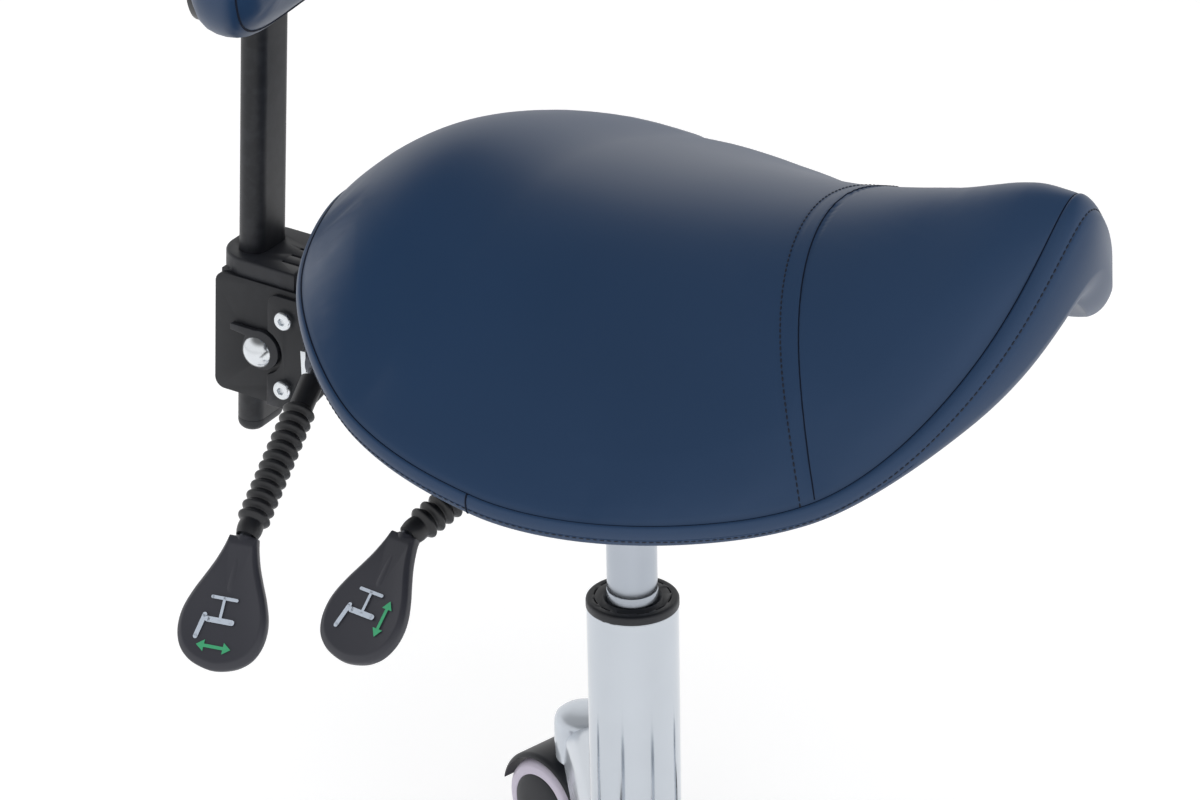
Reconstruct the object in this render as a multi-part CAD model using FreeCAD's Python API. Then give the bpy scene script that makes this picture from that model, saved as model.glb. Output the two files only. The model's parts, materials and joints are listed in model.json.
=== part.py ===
import FreeCAD, Part
import math
import os

from FreeCAD import Matrix, Placement, Rotation, Vector

# Saddle stool with a gas lift, a tilting seat and an adjustable lumbar backrest.
# Millimetres. +Z is up and the floor is z = 0, under the column's axis.
# The front of the seat points to -Y, and the sitter's right is -X.
# A place on the seat is given as f (forward), r (to the sitter's right) and
# u (height above the top edge of the column tube).

# Overall sizes
COLUMN_TOP_Z = 316.0
BASE_RADIUS = 288.0
LIFT_STROKE = 140.0
SEAT_HALF_WIDTH = 207.3
SEAT_REAR_F = -169.3
SEAT_FRONT_F = 250.4
SEAT_MIDDLE_F = 29.6

# Running fits and assembly clearances
SHAFT_CLEARANCE = 0.05
LOOSE_CLEARANCE = 0.3
FACE_GAP = 0.1
THREAD_CLEARANCE = 0.25

# Casters
WHEEL_DIAMETER = 60.0
TYRE_SECTION = 9.0
WHEEL_WIDTH = 19.0
WHEEL_GAP = 10.0
CASTER_TRAIL = 21.0
CASTER_AXLE_DIAMETER = 8.0
STEM_DIAMETER = 11.0
STEM_LENGTH = 22.0
STEM_COLLAR_DIAMETER = 18.0
STEM_COLLAR_HEIGHT = 2.5
HOOD_WALL = 2.6
HOOD_CLEARANCE = 2.4
HOOD_HUB_DIAMETER = 24.0
LEG_COUNT = 5
FIRST_LEG_ANGLE = 36.0
TRAIL_ANGLES = (72.0, 95.0, 62.0, 84.0, 70.0)

# Star base
LEG_BOSS_DIAMETER = 38.0
LEG_BOSS_HEIGHT = 25.0
LEG_TIP_WIDTH = 30.0
LEG_ROOT_WIDTH = 40.0
LEG_ROOT_HEIGHT = 42.0
LEG_WALL = 3.0
LEG_BOW = 5.0
LEG_STATIONS = 9
HUB_DIAMETER = 68.0
HUB_HEIGHT = 60.0
HUB_BOTTOM_Z = 66.0

# Gas lift
COLUMN_DIAMETER = 50.0
COLUMN_WALL = 1.6
COLUMN_TAPER_HEIGHT = 56.0
COLUMN_TAPER_DROP = 1.2
COLUMN_FLOOR = 3.0
BUSHING_LENGTH = 75.0
BUSHING_RIM = 5.0
BUSHING_OVERHANG = 0.3
BUSHING_SLOTS = 12
CYLINDER_DIAMETER = 28.0
CYLINDER_WALL = 2.0
CYLINDER_STEP_U = 10.0
CYLINDER_STEP_DROP = 0.3
CYLINDER_TAPER_DROP = 1.0
ROD_DIAMETER = 10.0
PISTON_HEIGHT = 12.0
BEARING_BALL = 4.0
BEARING_BALLS = 9
BEARING_DIAMETER = 27.0
RACE_THICKNESS = 1.5
BUFFER_HEIGHT = 12.0
CLIP_THICKNESS = 1.2
BUTTON_DIAMETER = 8.0
BUTTON_TRAVEL = 4.2
BUTTON_GUIDE = 20.0

# Seat mechanism, level before the seat group is leant forward
TILT_F = 48.0
TILT_U = 150.0
REST_LEAN = 4.0
TILT_RANGE = 8.0
AXLE_DIAMETER = 10.0
HOUSING_WIDTH = 84.0
HOUSING_FRONT_F = 62.0
HOUSING_REAR_F = -78.0
HOUSING_FLOOR_U = 92.0
HOUSING_WALL = 3.0
SOCKET_DIAMETER = 44.0
SOCKET_BOTTOM_U = 72.0
SOCKET_TOP_U = 116.0
PLATE_TOP_U = 175.0
PLATE_THICKNESS = 3.0
PLATE_HALF_WIDTH = 62.0
PLATE_FRONT_F = 78.0
PLATE_REAR_F = -104.0
EAR_THICKNESS = 3.0
SECTOR_THICKNESS = 6.0
SPINDLE_DIAMETER = 8.0
FORK_WIDTH = 17.0
FORK_PIVOT_R = 44.6
EYE_DIAMETER = 15.0
EYE_WIDTH = 10.0
PIVOT_PIN_DIAMETER = 5.0
SPRING_WIRE = 3.6
SPRING_MEAN_RADIUS = 11.5
SPRING_F = -50.0

# Hand levers
LEVER_ROD_DIAMETER = 8.0
PADDLE_LENGTH = 72.0
PADDLE_WIDTH = 50.0
PADDLE_THICKNESS = 7.0
PADDLE_NECK_WIDTH = 16.0
SLEEVE_RIBS = 13
SLEEVE_PITCH = 6.4
SLEEVE_CREST_DIAMETER = 18.0
SLEEVE_ROOT_DIAMETER = 13.5
SLEEVE_START = 12.0
CUFF_LENGTH = 9.0

# Seat shell and cushion
FOAM_CENTRE = 46.0
EDGE_HEIGHT = 12.4
NOSE_HEIGHT = 61.0
NOSE_START_F = 129.3
NOSE_GROWTH = 4.9
EDGE_BULGE = 4.0
PAN_THICKNESS = 9.0
PAN_INSET = 18.0
COVER_THICKNESS = 1.6
SEAT_BOLT_DIAMETER = 8.0
SEAT_BOLT_LENGTH = 12.0
SEAT_BOLT_PLACES = ((52.0, 54.0), (52.0, -54.0), (-84.0, 54.0), (-84.0, -54.0))

# Back bracket and upright, level before the seat group is leant forward
UPRIGHT_WIDTH = 32.0
UPRIGHT_DEPTH = 16.0
UPRIGHT_WALL = 1.8
UPRIGHT_F = -228.5
UPRIGHT_BOTTOM_U = 44.0
UPRIGHT_FIT = 0.15
PLUG_HEIGHT = 7.0
PLUG_INSERT = 16.0
UPRIGHT_TOP_U = 500.0
BRACKET_HALF_WIDTH = 26.0
BRACKET_WALL = 3.0
BRACKET_REAR_F = -241.5
BRACKET_FRONT_F = -186.0
BRACKET_BOTTOM_U = 66.5
BRACKET_TOP_U = 137.0
COLLAR_HEIGHT = 10.0
COLLAR_INSERT = 33.0
BOLT_F = -213.0
BOLT_U = 96.2
BOLT_DIAMETER = 8.0
BOLT_HEAD_DIAMETER = 18.0
BOLT_WASHER = 3.0
BOLT_NOTCH = 28.0
ARM_REAR_F = -206.0
SIDE_SCREW_F = -195.0
SIDE_SCREW_U = (121.0, 79.0)
SIDE_SCREW_DIAMETER = 6.0
KNOB_DIAMETER = 46.0

# Lumbar pad
PAD_BEND_RADIUS = 400.0
PAD_MIDDLE_F = -181.0
PAD_CENTRE_U = 414.0
PAD_HALF_WIDTH = 166.0
PAD_HEIGHT = 200.0
PAD_THICKNESS = 44.0
PAD_SHELL_THICKNESS = 4.0
PAD_SHELL_HEIGHT = 176.0
PAD_BRACKET_THICKNESS = 4.0

BIG = 1000.0

os.makedirs("parts", exist_ok=True)


def at(f, r, u):
    """Point of the seat's own measures as a point of the model."""
    return Vector(-r, -f, COLUMN_TOP_Z + u)


def save(name, shape):
    """Write one sub-part; a list of solids becomes a compound."""
    if isinstance(shape, (list, tuple)):
        shape = Part.makeCompound(list(shape))
    shape.exportStep("parts/" + name + ".step")


def cylinder(diameter, height, base, axis=Vector(0, 0, 1)):
    return Part.makeCylinder(diameter / 2.0, height, base, axis)


def tube(outer, inner, height, base, axis=Vector(0, 0, 1)):
    wall = cylinder(outer, height, base, axis)
    return wall.cut(cylinder(inner, height + 2.0, base - axis, axis))


def cone(bottom, top, height, base):
    return Part.makeCone(bottom / 2.0, top / 2.0, height, base)


def block(f0, f1, r0, r1, u0, u1):
    """Box between two places of the seat's measures."""
    low = at(max(f0, f1), max(r0, r1), min(u0, u1))
    return Part.makeBox(abs(r1 - r0), abs(f1 - f0), abs(u1 - u0), low)


def prism(points, r0, r1):
    """Plate of an f, u outline between two places across the seat."""
    corners = [at(f, r0, u) for f, u in points]
    face = Part.Face(Part.makePolygon(corners + [corners[0]]))
    return face.extrude(Vector(-(r1 - r0), 0, 0))


def rounded(shape, radius, keep):
    """Round the straight edges that a test picks."""
    picked = [edge for edge in shape.Edges if keep(edge)]
    return shape.makeFillet(radius, picked)


def along(edge, direction):
    """True for a straight edge that runs along a direction."""
    if not isinstance(edge.Curve, Part.Line):
        return False
    return abs(abs(edge.Curve.Direction.dot(direction)) - 1.0) < 1e-6


def leant(shape):
    """Lean a piece of the seat group forward about the tilt axle."""
    turned = shape.copy()
    turned.rotate(at(TILT_F, 0, TILT_U), Vector(1, 0, 0), REST_LEAN)
    return turned


def turned_copy(shape, angle):
    copy = shape.copy()
    copy.rotate(Vector(0, 0, 0), Vector(0, 0, 1), angle)
    return copy


# Star base and casters

WHEEL_RADIUS = WHEEL_DIAMETER / 2.0
BOSS_BOTTOM_Z = WHEEL_DIAMETER + HOOD_CLEARANCE + HOOD_WALL + STEM_COLLAR_HEIGHT
BOSS_TOP_Z = BOSS_BOTTOM_Z + LEG_BOSS_HEIGHT
STEM_RADIUS_FROM_AXIS = BASE_RADIUS - LEG_BOSS_DIAMETER / 2.0


def leg_section(x, width, bottom, top, round_share):
    """Arched cross-section of a leg, flat below and crowned above."""
    half = width / 2.0
    shoulder = top - (top - bottom) * round_share
    low_left = Vector(x, -half, bottom)
    high_left = Vector(x, -half * 0.92, shoulder)
    high_right = Vector(x, half * 0.92, shoulder)
    low_right = Vector(x, half, bottom)
    crown = Part.Arc(high_left, Vector(x, 0, top), high_right)
    sides = [Part.LineSegment(low_left, high_left), Part.LineSegment(high_right, low_right)]
    floor = Part.LineSegment(low_right, low_left)
    edges = [sides[0].toShape(), crown.toShape(), sides[1].toShape(), floor.toShape()]
    return Part.Wire(edges)


def leg_solid(inset, drop):
    """Tapered leg from the hub to its tip boss; inset makes the hollow inside."""
    root_x = HUB_DIAMETER * 0.25
    root_top = HUB_BOTTOM_Z + HUB_HEIGHT - inset
    root_bottom = root_top + inset - LEG_ROOT_HEIGHT - drop
    tip_top = BOSS_TOP_Z - inset
    tip_bottom = BOSS_BOTTOM_Z - drop
    sections = []
    for station in range(LEG_STATIONS):
        share = station / (LEG_STATIONS - 1.0)
        x = root_x + (STEM_RADIUS_FROM_AXIS - root_x) * share
        width = LEG_ROOT_WIDTH + (LEG_TIP_WIDTH - LEG_ROOT_WIDTH) * share
        bottom = root_bottom + (tip_bottom - root_bottom) * share
        top = root_top + (tip_top - root_top) * share + LEG_BOW * 4.0 * share * (1.0 - share)
        sections.append(leg_section(x, width - 2 * inset, bottom, top, 0.38))
    return Part.makeLoft(sections, True, True)


def column_bottom_z():
    return HUB_BOTTOM_Z - COLUMN_FLOOR


def column_bottom_diameter():
    return COLUMN_DIAMETER - COLUMN_TAPER_DROP


def hub_bore():
    """Cone of the hub that the column tube's lower end is pressed into."""
    return cone(
        column_bottom_diameter(), COLUMN_DIAMETER, COLUMN_TAPER_HEIGHT, Vector(0, 0, column_bottom_z()),
    )


def make_star_base():
    hub = cone(HUB_DIAMETER, HUB_DIAMETER - 6.0, HUB_HEIGHT, Vector(0, 0, HUB_BOTTOM_Z))
    crown_edge = [e for e in hub.Edges if e.BoundBox.ZMin > HUB_BOTTOM_Z + HUB_HEIGHT - 1.0]
    hub = hub.makeFillet(4.0, crown_edge)
    boss_base = Vector(STEM_RADIUS_FROM_AXIS, 0, BOSS_BOTTOM_Z)
    boss = cylinder(LEG_BOSS_DIAMETER, LEG_BOSS_HEIGHT, boss_base)
    boss = boss.makeFillet(5.0, [e for e in boss.Edges if e.BoundBox.ZMin > BOSS_TOP_Z - 1.0])
    hollow_reach = STEM_RADIUS_FROM_AXIS - LEG_BOSS_DIAMETER / 2.0 + LEG_WALL
    hollow_limit = Part.makeBox(
        hollow_reach - HUB_DIAMETER / 2.0, 80, 200, Vector(HUB_DIAMETER / 2.0, -40, 0),
    )
    hollow = leg_solid(LEG_WALL, 20.0).common(hollow_limit)
    leg = leg_solid(0.0, 0.0).cut(hollow).fuse(boss)
    stem_hole = cylinder(STEM_DIAMETER, STEM_LENGTH - 4.0, boss_base)
    leg = leg.cut(stem_hole)
    base = hub
    for index in range(LEG_COUNT):
        base = base.fuse(turned_copy(leg, FIRST_LEG_ANGLE + index * 360.0 / LEG_COUNT))
    bore_below = cylinder(
        column_bottom_diameter() + 0.4, COLUMN_FLOOR + 8.0, Vector(0, 0, column_bottom_z() - 8.0),
    )
    bore_above = cylinder(COLUMN_DIAMETER, 60.0, Vector(0, 0, column_bottom_z() + COLUMN_TAPER_HEIGHT))
    base = base.cut(hub_bore()).cut(bore_below).cut(bore_above)
    return base.removeSplitter()


def stem_point(index):
    angle = math.radians(FIRST_LEG_ANGLE + index * 360.0 / LEG_COUNT)
    return Vector(STEM_RADIUS_FROM_AXIS * math.cos(angle), STEM_RADIUS_FROM_AXIS * math.sin(angle), 0)


def caster_stem():
    """Steel stem: its knurled end sits in the leg, its lower pin carries the hood."""
    upper = cylinder(STEM_DIAMETER, STEM_LENGTH - 5.0, Vector(0, 0, BOSS_BOTTOM_Z))
    collar = cylinder(
        STEM_COLLAR_DIAMETER,
        STEM_COLLAR_HEIGHT - FACE_GAP,
        Vector(0, 0, BOSS_BOTTOM_Z - STEM_COLLAR_HEIGHT + FACE_GAP),
    )
    lower = cylinder(
        STEM_DIAMETER - 2.0, STEM_LENGTH, Vector(0, 0, BOSS_BOTTOM_Z - STEM_COLLAR_HEIGHT - STEM_LENGTH),
    )
    return upper.fuse(collar).fuse(lower)


def caster_hood():
    """Twin mudguard with a middle web, the stem socket and the axle boss."""
    top = BOSS_BOTTOM_Z - STEM_COLLAR_HEIGHT
    centre = Vector(CASTER_TRAIL, 0, WHEEL_RADIUS)
    across = Vector(0, 1, 0)
    outer_radius = top - WHEEL_RADIUS
    half = WHEEL_GAP / 2.0 + WHEEL_WIDTH - 2.0
    drum = Part.makeCylinder(outer_radius, 2 * half, centre - across * half, across)
    drum = drum.makeFillet(4.0, [e for e in drum.Edges if isinstance(e.Curve, Part.Circle)])
    inner_radius = WHEEL_RADIUS + HOOD_CLEARANCE
    inside = Part.makeCylinder(inner_radius, 2 * half + 20, centre - across * (half + 10), across)
    web = Part.makeCylinder(
        WHEEL_RADIUS - 6.0, WHEEL_GAP - 2.0, centre - across * (WHEEL_GAP / 2.0 - 1.0), across,
    )
    web_upper = Part.makeBox(
        inner_radius,
        WHEEL_GAP - 2.0,
        inner_radius + 1.0,
        centre + Vector(-inner_radius * 0.8, 1.0 - WHEEL_GAP / 2.0, 0),
    )
    guard = drum.cut(inside)
    below = Part.makeBox(BIG, BIG, BIG, Vector(-BIG / 2, -BIG / 2, WHEEL_RADIUS - BIG))
    below.rotate(centre, across, -14.0)
    guard = guard.cut(below)
    rim = drum.common(web_upper)
    hub = cylinder(HOOD_HUB_DIAMETER, STEM_LENGTH + 3.0, Vector(0, 0, top - STEM_LENGTH - 3.0))
    wheel_space = []
    for side in (-1, 1):
        start = WHEEL_GAP / 2.0 - 1.0 if side > 0 else -(WHEEL_GAP / 2.0 - 1.0) - WHEEL_WIDTH - 5.0
        wheel_space.append(
            Part.makeCylinder(WHEEL_RADIUS + 1.5, WHEEL_WIDTH + 5.0, centre + across * start, across)
        )
    hub = hub.cut(wheel_space[0]).cut(wheel_space[1])
    hood = guard.fuse(web).fuse(rim).fuse(hub)
    socket = cylinder(
        STEM_DIAMETER - 2.0 + 2 * SHAFT_CLEARANCE, STEM_LENGTH + 0.5, Vector(0, 0, top - STEM_LENGTH - 0.5),
    )
    axle_hole = Part.makeCylinder(CASTER_AXLE_DIAMETER / 2.0, 60, centre - across * 30, across)
    return hood.cut(socket).cut(axle_hole).removeSplitter()


def caster_axle():
    centre = Vector(CASTER_TRAIL, 0, WHEEL_RADIUS)
    length = WHEEL_GAP + 2 * (WHEEL_WIDTH - 5.0)
    return Part.makeCylinder(
        CASTER_AXLE_DIAMETER / 2.0, length, centre - Vector(0, length / 2.0, 0), Vector(0, 1, 0),
    )


def wheel_profile(points):
    """Turned solid about the caster axle from radius and offset pairs."""
    corners = [Vector(CASTER_TRAIL, y, WHEEL_RADIUS + radius) for radius, y in points]
    face = Part.Face(Part.makePolygon(corners + [corners[0]]))
    return face.revolve(Vector(CASTER_TRAIL, 0, WHEEL_RADIUS), Vector(0, 1, 0), 360)


def caster_wheel_pair():
    """Two wheel discs, each with a blind hub bore for the axle."""
    y0 = WHEEL_GAP / 2.0
    y1 = y0 + WHEEL_WIDTH
    rim = WHEEL_RADIUS - TYRE_SECTION
    bore = CASTER_AXLE_DIAMETER / 2.0 + SHAFT_CLEARANCE
    end = y1 - 4.5
    points = [
        (bore, y0), (9.0, y0), (9.0, y0 + 8.0), (rim - 3.0, y0 + 8.0), (rim - 3.0, y0 + 1.0),
        (rim, y0 + 1.0), (rim, y1 - 2.5), (rim - 4.0, y1 - 1.0), (rim - 11.0, y1), (0.0, y1),
        (0.0, end), (bore, end),
    ]
    near = wheel_profile(points)
    return [near, near.mirror(Vector(0, 0, 0), Vector(0, 1, 0))]


def caster_tyre_pair():
    y0 = WHEEL_GAP / 2.0 + 1.0
    y1 = WHEEL_GAP / 2.0 + WHEEL_WIDTH - 2.5
    rim = WHEEL_RADIUS - TYRE_SECTION
    points = [
        (rim, y0), (WHEEL_RADIUS - 3.0, y0), (WHEEL_RADIUS, y0 + 4.0), (WHEEL_RADIUS, y1 - 6.0),
        (WHEEL_RADIUS - 1.5, y1 - 2.5), (WHEEL_RADIUS - 4.0, y1 - 0.5), (rim, y1),
    ]
    near = wheel_profile(points)
    return [near, near.mirror(Vector(0, 0, 0), Vector(0, 1, 0))]


def make_casters():
    stems = []
    pieces = {
        "hood": caster_hood(),
        "axle": caster_axle(),
        "wheels": caster_wheel_pair(),
        "tyres": caster_tyre_pair(),
    }
    for index in range(LEG_COUNT):
        place = Placement(stem_point(index), Rotation(Vector(0, 0, 1), TRAIL_ANGLES[index]))
        for name, shape in pieces.items():
            solids = shape if isinstance(shape, list) else [shape]
            placed = []
            for solid in solids:
                copy = solid.copy()
                copy.Placement = place.multiply(copy.Placement)
                placed.append(copy)
            save("caster_" + str(index + 1) + "_" + name, placed if len(placed) > 1 else placed[0])
        stem = caster_stem()
        stem.Placement = place.multiply(stem.Placement)
        stems.append(stem)
    save("caster_stems", stems)


# Gas lift

COLUMN_BORE = COLUMN_DIAMETER - 2 * COLUMN_WALL
CYLINDER_TOP_U = SOCKET_TOP_U + 2.0
STEP_DIAMETER = CYLINDER_DIAMETER - 2 * CYLINDER_STEP_DROP
BEARING_BOTTOM_Z = column_bottom_z() + COLUMN_FLOOR
BUFFER_BOTTOM_Z = BEARING_BOTTOM_Z + 2 * RACE_THICKNESS + BEARING_BALL
CYLINDER_BOTTOM_Z = BUFFER_BOTTOM_Z + BUFFER_HEIGHT + 1.0
PISTON_BOTTOM_Z = CYLINDER_BOTTOM_Z + LIFT_STROKE + 14.0


def make_column_tube():
    base = Vector(0, 0, column_bottom_z())
    lower = cone(column_bottom_diameter(), COLUMN_DIAMETER, COLUMN_TAPER_HEIGHT, base)
    upper_z = column_bottom_z() + COLUMN_TAPER_HEIGHT
    upper = cylinder(COLUMN_DIAMETER, COLUMN_TOP_Z - upper_z, Vector(0, 0, upper_z))
    bore_z = column_bottom_z() + COLUMN_FLOOR
    bore_low = cylinder(COLUMN_BORE - COLUMN_TAPER_DROP, COLUMN_TAPER_HEIGHT, Vector(0, 0, bore_z))
    bore_high = cylinder(COLUMN_BORE, COLUMN_TOP_Z - upper_z + 2.0, Vector(0, 0, upper_z))
    rod_hole = cylinder(ROD_DIAMETER - 2.0 + 2 * SHAFT_CLEARANCE, 20.0, base - Vector(0, 0, 5))
    return lower.fuse(upper).cut(bore_low).cut(bore_high).cut(rod_hole).removeSplitter()


def make_guide_bushing():
    """Plastic guide inside the column with a slotted rim on the tube's edge."""
    sleeve = cylinder(COLUMN_BORE, BUSHING_LENGTH, Vector(0, 0, COLUMN_TOP_Z - BUSHING_LENGTH))
    rim = cylinder(COLUMN_DIAMETER + 2 * BUSHING_OVERHANG, BUSHING_RIM, Vector(0, 0, COLUMN_TOP_Z))
    rim = rim.makeFillet(1.8, [e for e in rim.Edges if e.BoundBox.ZMin > COLUMN_TOP_Z + BUSHING_RIM - 0.5])
    body = sleeve.fuse(rim)
    relief = cylinder(
        CYLINDER_DIAMETER + 3.0, BUSHING_LENGTH - 24.0, Vector(0, 0, COLUMN_TOP_Z - BUSHING_LENGTH + 12.0),
    )
    bore = cylinder(CYLINDER_DIAMETER + 2 * SHAFT_CLEARANCE, BIG, Vector(0, 0, 0))
    body = body.cut(relief).cut(bore)
    mouth = cone(
        CYLINDER_DIAMETER + 0.1,
        CYLINDER_DIAMETER + 4.0,
        2.0,
        Vector(0, 0, COLUMN_TOP_Z + BUSHING_RIM - 2.0 + 0.01),
    )
    body = body.cut(mouth)
    slot_radius = COLUMN_DIAMETER / 2.0 - 4.6
    slot_span = 360.0 / BUSHING_SLOTS * 0.62
    ring = tube(2 * slot_radius + 1.4, 2 * slot_radius, 3.0, Vector(0, 0, COLUMN_TOP_Z + BUSHING_RIM - 2.2))
    wedge = slot_wedge(slot_span, slot_radius + 5.0)
    for index in range(BUSHING_SLOTS):
        turn = 360.0 / BUSHING_SLOTS * (index + 0.5)
        body = body.cut(ring.common(turned_copy(wedge, turn)))
    return body.removeSplitter()


def slot_wedge(span, reach):
    """Sector that limits one arc slot."""
    half = math.radians(span / 2.0)
    left = Vector(reach * math.cos(half), reach * math.sin(half), 0)
    right = Vector(reach * math.cos(half), -reach * math.sin(half), 0)
    outline = Part.makePolygon([Vector(0, 0, 0), right, left, Vector(0, 0, 0)])
    return Part.Face(outline).extrude(Vector(0, 0, BIG))


def make_pressure_cylinder():
    step_z = COLUMN_TOP_Z + CYLINDER_STEP_U
    top_z = COLUMN_TOP_Z + CYLINDER_TOP_U
    socket_z = COLUMN_TOP_Z + SOCKET_BOTTOM_U
    body = cylinder(CYLINDER_DIAMETER, step_z - CYLINDER_BOTTOM_Z, Vector(0, 0, CYLINDER_BOTTOM_Z))
    neck = cylinder(STEP_DIAMETER, socket_z - step_z, Vector(0, 0, step_z))
    taper = cone(
        STEP_DIAMETER, STEP_DIAMETER - 2 * CYLINDER_TAPER_DROP, top_z - socket_z, Vector(0, 0, socket_z),
    )
    solid = body.fuse(neck).fuse(taper)
    guide = 10.0
    bore_top = socket_z - 8.0
    bore = cylinder(
        CYLINDER_DIAMETER - 2 * CYLINDER_WALL,
        bore_top - CYLINDER_BOTTOM_Z - guide,
        Vector(0, 0, CYLINDER_BOTTOM_Z + guide),
    )
    rod_bore = cylinder(
        ROD_DIAMETER + 2 * SHAFT_CLEARANCE, guide + 2.0, Vector(0, 0, CYLINDER_BOTTOM_Z - 1.0),
    )
    button_room = BUTTON_GUIDE + BUTTON_TRAVEL + 1.0
    button_bore = cylinder(
        BUTTON_DIAMETER + 2 * SHAFT_CLEARANCE, button_room + 5.0, Vector(0, 0, top_z - button_room),
    )
    return solid.cut(bore).cut(rod_bore).cut(button_bore).removeSplitter()


def make_piston_rod():
    """Rod with its piston, and a waist below that turns in the column's floor."""
    floor_z = column_bottom_z()
    waist = cylinder(ROD_DIAMETER - 2.0, COLUMN_FLOOR + 4.0 + RACE_THICKNESS, Vector(0, 0, floor_z - 4.0))
    groove = tube(
        ROD_DIAMETER, ROD_DIAMETER - 3.5, CLIP_THICKNESS, Vector(0, 0, floor_z - 0.2 - CLIP_THICKNESS),
    )
    main_z = floor_z + COLUMN_FLOOR + RACE_THICKNESS
    main = cylinder(ROD_DIAMETER, PISTON_BOTTOM_Z - main_z, Vector(0, 0, main_z))
    piston = cylinder(
        CYLINDER_DIAMETER - 2 * CYLINDER_WALL - 2 * SHAFT_CLEARANCE,
        PISTON_HEIGHT,
        Vector(0, 0, PISTON_BOTTOM_Z),
    )
    return waist.cut(groove).fuse(main).fuse(piston).removeSplitter()


def make_retaining_clip():
    """Open spring clip in the rod's groove, under the column's floor."""
    base = Vector(0, 0, column_bottom_z() - 0.2 - CLIP_THICKNESS)
    ring = tube(17.0, ROD_DIAMETER - 3.5, CLIP_THICKNESS, base)
    mouth = Part.makeBox(12.0, 5.0, 4.0, base + Vector(0, -2.5, -1.0))
    return ring.cut(mouth)


def make_thrust_bearing():
    """Two races with a row of balls between them."""
    low = tube(BEARING_DIAMETER, ROD_DIAMETER + 0.2, RACE_THICKNESS, Vector(0, 0, BEARING_BOTTOM_Z))
    high_z = BEARING_BOTTOM_Z + RACE_THICKNESS + BEARING_BALL
    high = tube(BEARING_DIAMETER, ROD_DIAMETER + 0.2, RACE_THICKNESS, Vector(0, 0, high_z))
    row_radius = (BEARING_DIAMETER + ROD_DIAMETER) / 4.0
    balls = []
    for index in range(BEARING_BALLS):
        angle = 2 * math.pi * index / BEARING_BALLS
        centre = Vector(
            row_radius * math.cos(angle),
            row_radius * math.sin(angle),
            BEARING_BOTTOM_Z + RACE_THICKNESS + BEARING_BALL / 2.0,
        )
        balls.append(Part.makeSphere(BEARING_BALL / 2.0, centre))
    return [low, high] + balls


def make_gas_lift():
    save("column_tube", make_column_tube())
    save("guide_bushing", make_guide_bushing())
    save("pressure_cylinder", make_pressure_cylinder())
    save("piston_rod", make_piston_rod())
    save("retaining_clip", make_retaining_clip())
    save("thrust_bearing", make_thrust_bearing())
    save("rubber_buffer", tube(25.0, ROD_DIAMETER + 0.6, BUFFER_HEIGHT, Vector(0, 0, BUFFER_BOTTOM_Z)))
    button_z = COLUMN_TOP_Z + CYLINDER_TOP_U - BUTTON_GUIDE
    button = cylinder(BUTTON_DIAMETER, BUTTON_GUIDE + BUTTON_TRAVEL, Vector(0, 0, button_z))
    save("release_button", button)


# Seat mechanism

BUTTON_TOP_U = CYLINDER_TOP_U + BUTTON_TRAVEL
HALF_HOUSING = HOUSING_WIDTH / 2.0
LOCK_F = -161.9
LOCK_U = 112.3


def tilt_vector(f, u):
    return math.hypot(f - TILT_F, u - TILT_U)


def make_housing():
    """Folded trough with the column socket, the tilt axle's holes and the lock sector."""
    side = [
        (HOUSING_FRONT_F, HOUSING_FLOOR_U), (HOUSING_FRONT_F, TILT_U + 4.0), (
            HOUSING_FRONT_F - 6.0, TILT_U + 11.0,
        ),
        (TILT_F - 8.0, TILT_U + 11.0), (HOUSING_REAR_F, HOUSING_FLOOR_U + 44.0), (
            HOUSING_REAR_F, HOUSING_FLOOR_U,
        ),
    ]
    right = prism(side, HALF_HOUSING - HOUSING_WALL, HALF_HOUSING)
    left = prism(side, -HALF_HOUSING, -HALF_HOUSING + HOUSING_WALL)
    floor = block(
        HOUSING_REAR_F,
        HOUSING_FRONT_F,
        -HALF_HOUSING,
        HALF_HOUSING,
        HOUSING_FLOOR_U,
        HOUSING_FLOOR_U + HOUSING_WALL,
    )
    rear = block(
        HOUSING_REAR_F,
        HOUSING_REAR_F + HOUSING_WALL,
        -HALF_HOUSING,
        HALF_HOUSING,
        HOUSING_FLOOR_U,
        HOUSING_FLOOR_U + 40.0,
    )
    body = right.fuse(left).fuse(floor).fuse(rear)
    socket = cylinder(SOCKET_DIAMETER, SOCKET_TOP_U - SOCKET_BOTTOM_U, at(0, 0, SOCKET_BOTTOM_U))
    body = body.fuse(socket).fuse(make_lock_sector())
    top_z = CYLINDER_TOP_U
    taper = cone(
        STEP_DIAMETER,
        STEP_DIAMETER - 2 * CYLINDER_TAPER_DROP,
        top_z - SOCKET_BOTTOM_U,
        at(0, 0, SOCKET_BOTTOM_U),
    )
    body = body.cut(taper)
    axle = cylinder(
        AXLE_DIAMETER + 2 * SHAFT_CLEARANCE,
        HOUSING_WIDTH + 20,
        at(TILT_F, HALF_HOUSING + 10, TILT_U),
        Vector(1, 0, 0),
    )
    f, r, u = LIFT_PIVOT
    window = block(f - 6.0, f + 6.0, HALF_HOUSING - 8.0, HALF_HOUSING + 8.0, u - 9.0, u + 9.0)
    lugs = block(f - 9.0, f + 9.0, r - 5.0, HALF_HOUSING - 1.0, u - 6.0, u + 6.0)
    pin = cylinder(PIVOT_PIN_DIAMETER, 18.0, at(f + 9.0, r, u), Vector(0, 1, 0))
    return body.fuse(lugs).cut(axle).cut(window).fuse(pin).removeSplitter()


def lock_turn(angle):
    """Place of the lock spindle after the seat group turns by an angle from level."""
    reach = tilt_vector(LOCK_F, LOCK_U)
    start = math.atan2(LOCK_U - TILT_U, LOCK_F - TILT_F)
    turn = start + math.radians(angle)
    return TILT_F + reach * math.cos(turn), TILT_U + reach * math.sin(turn)


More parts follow.
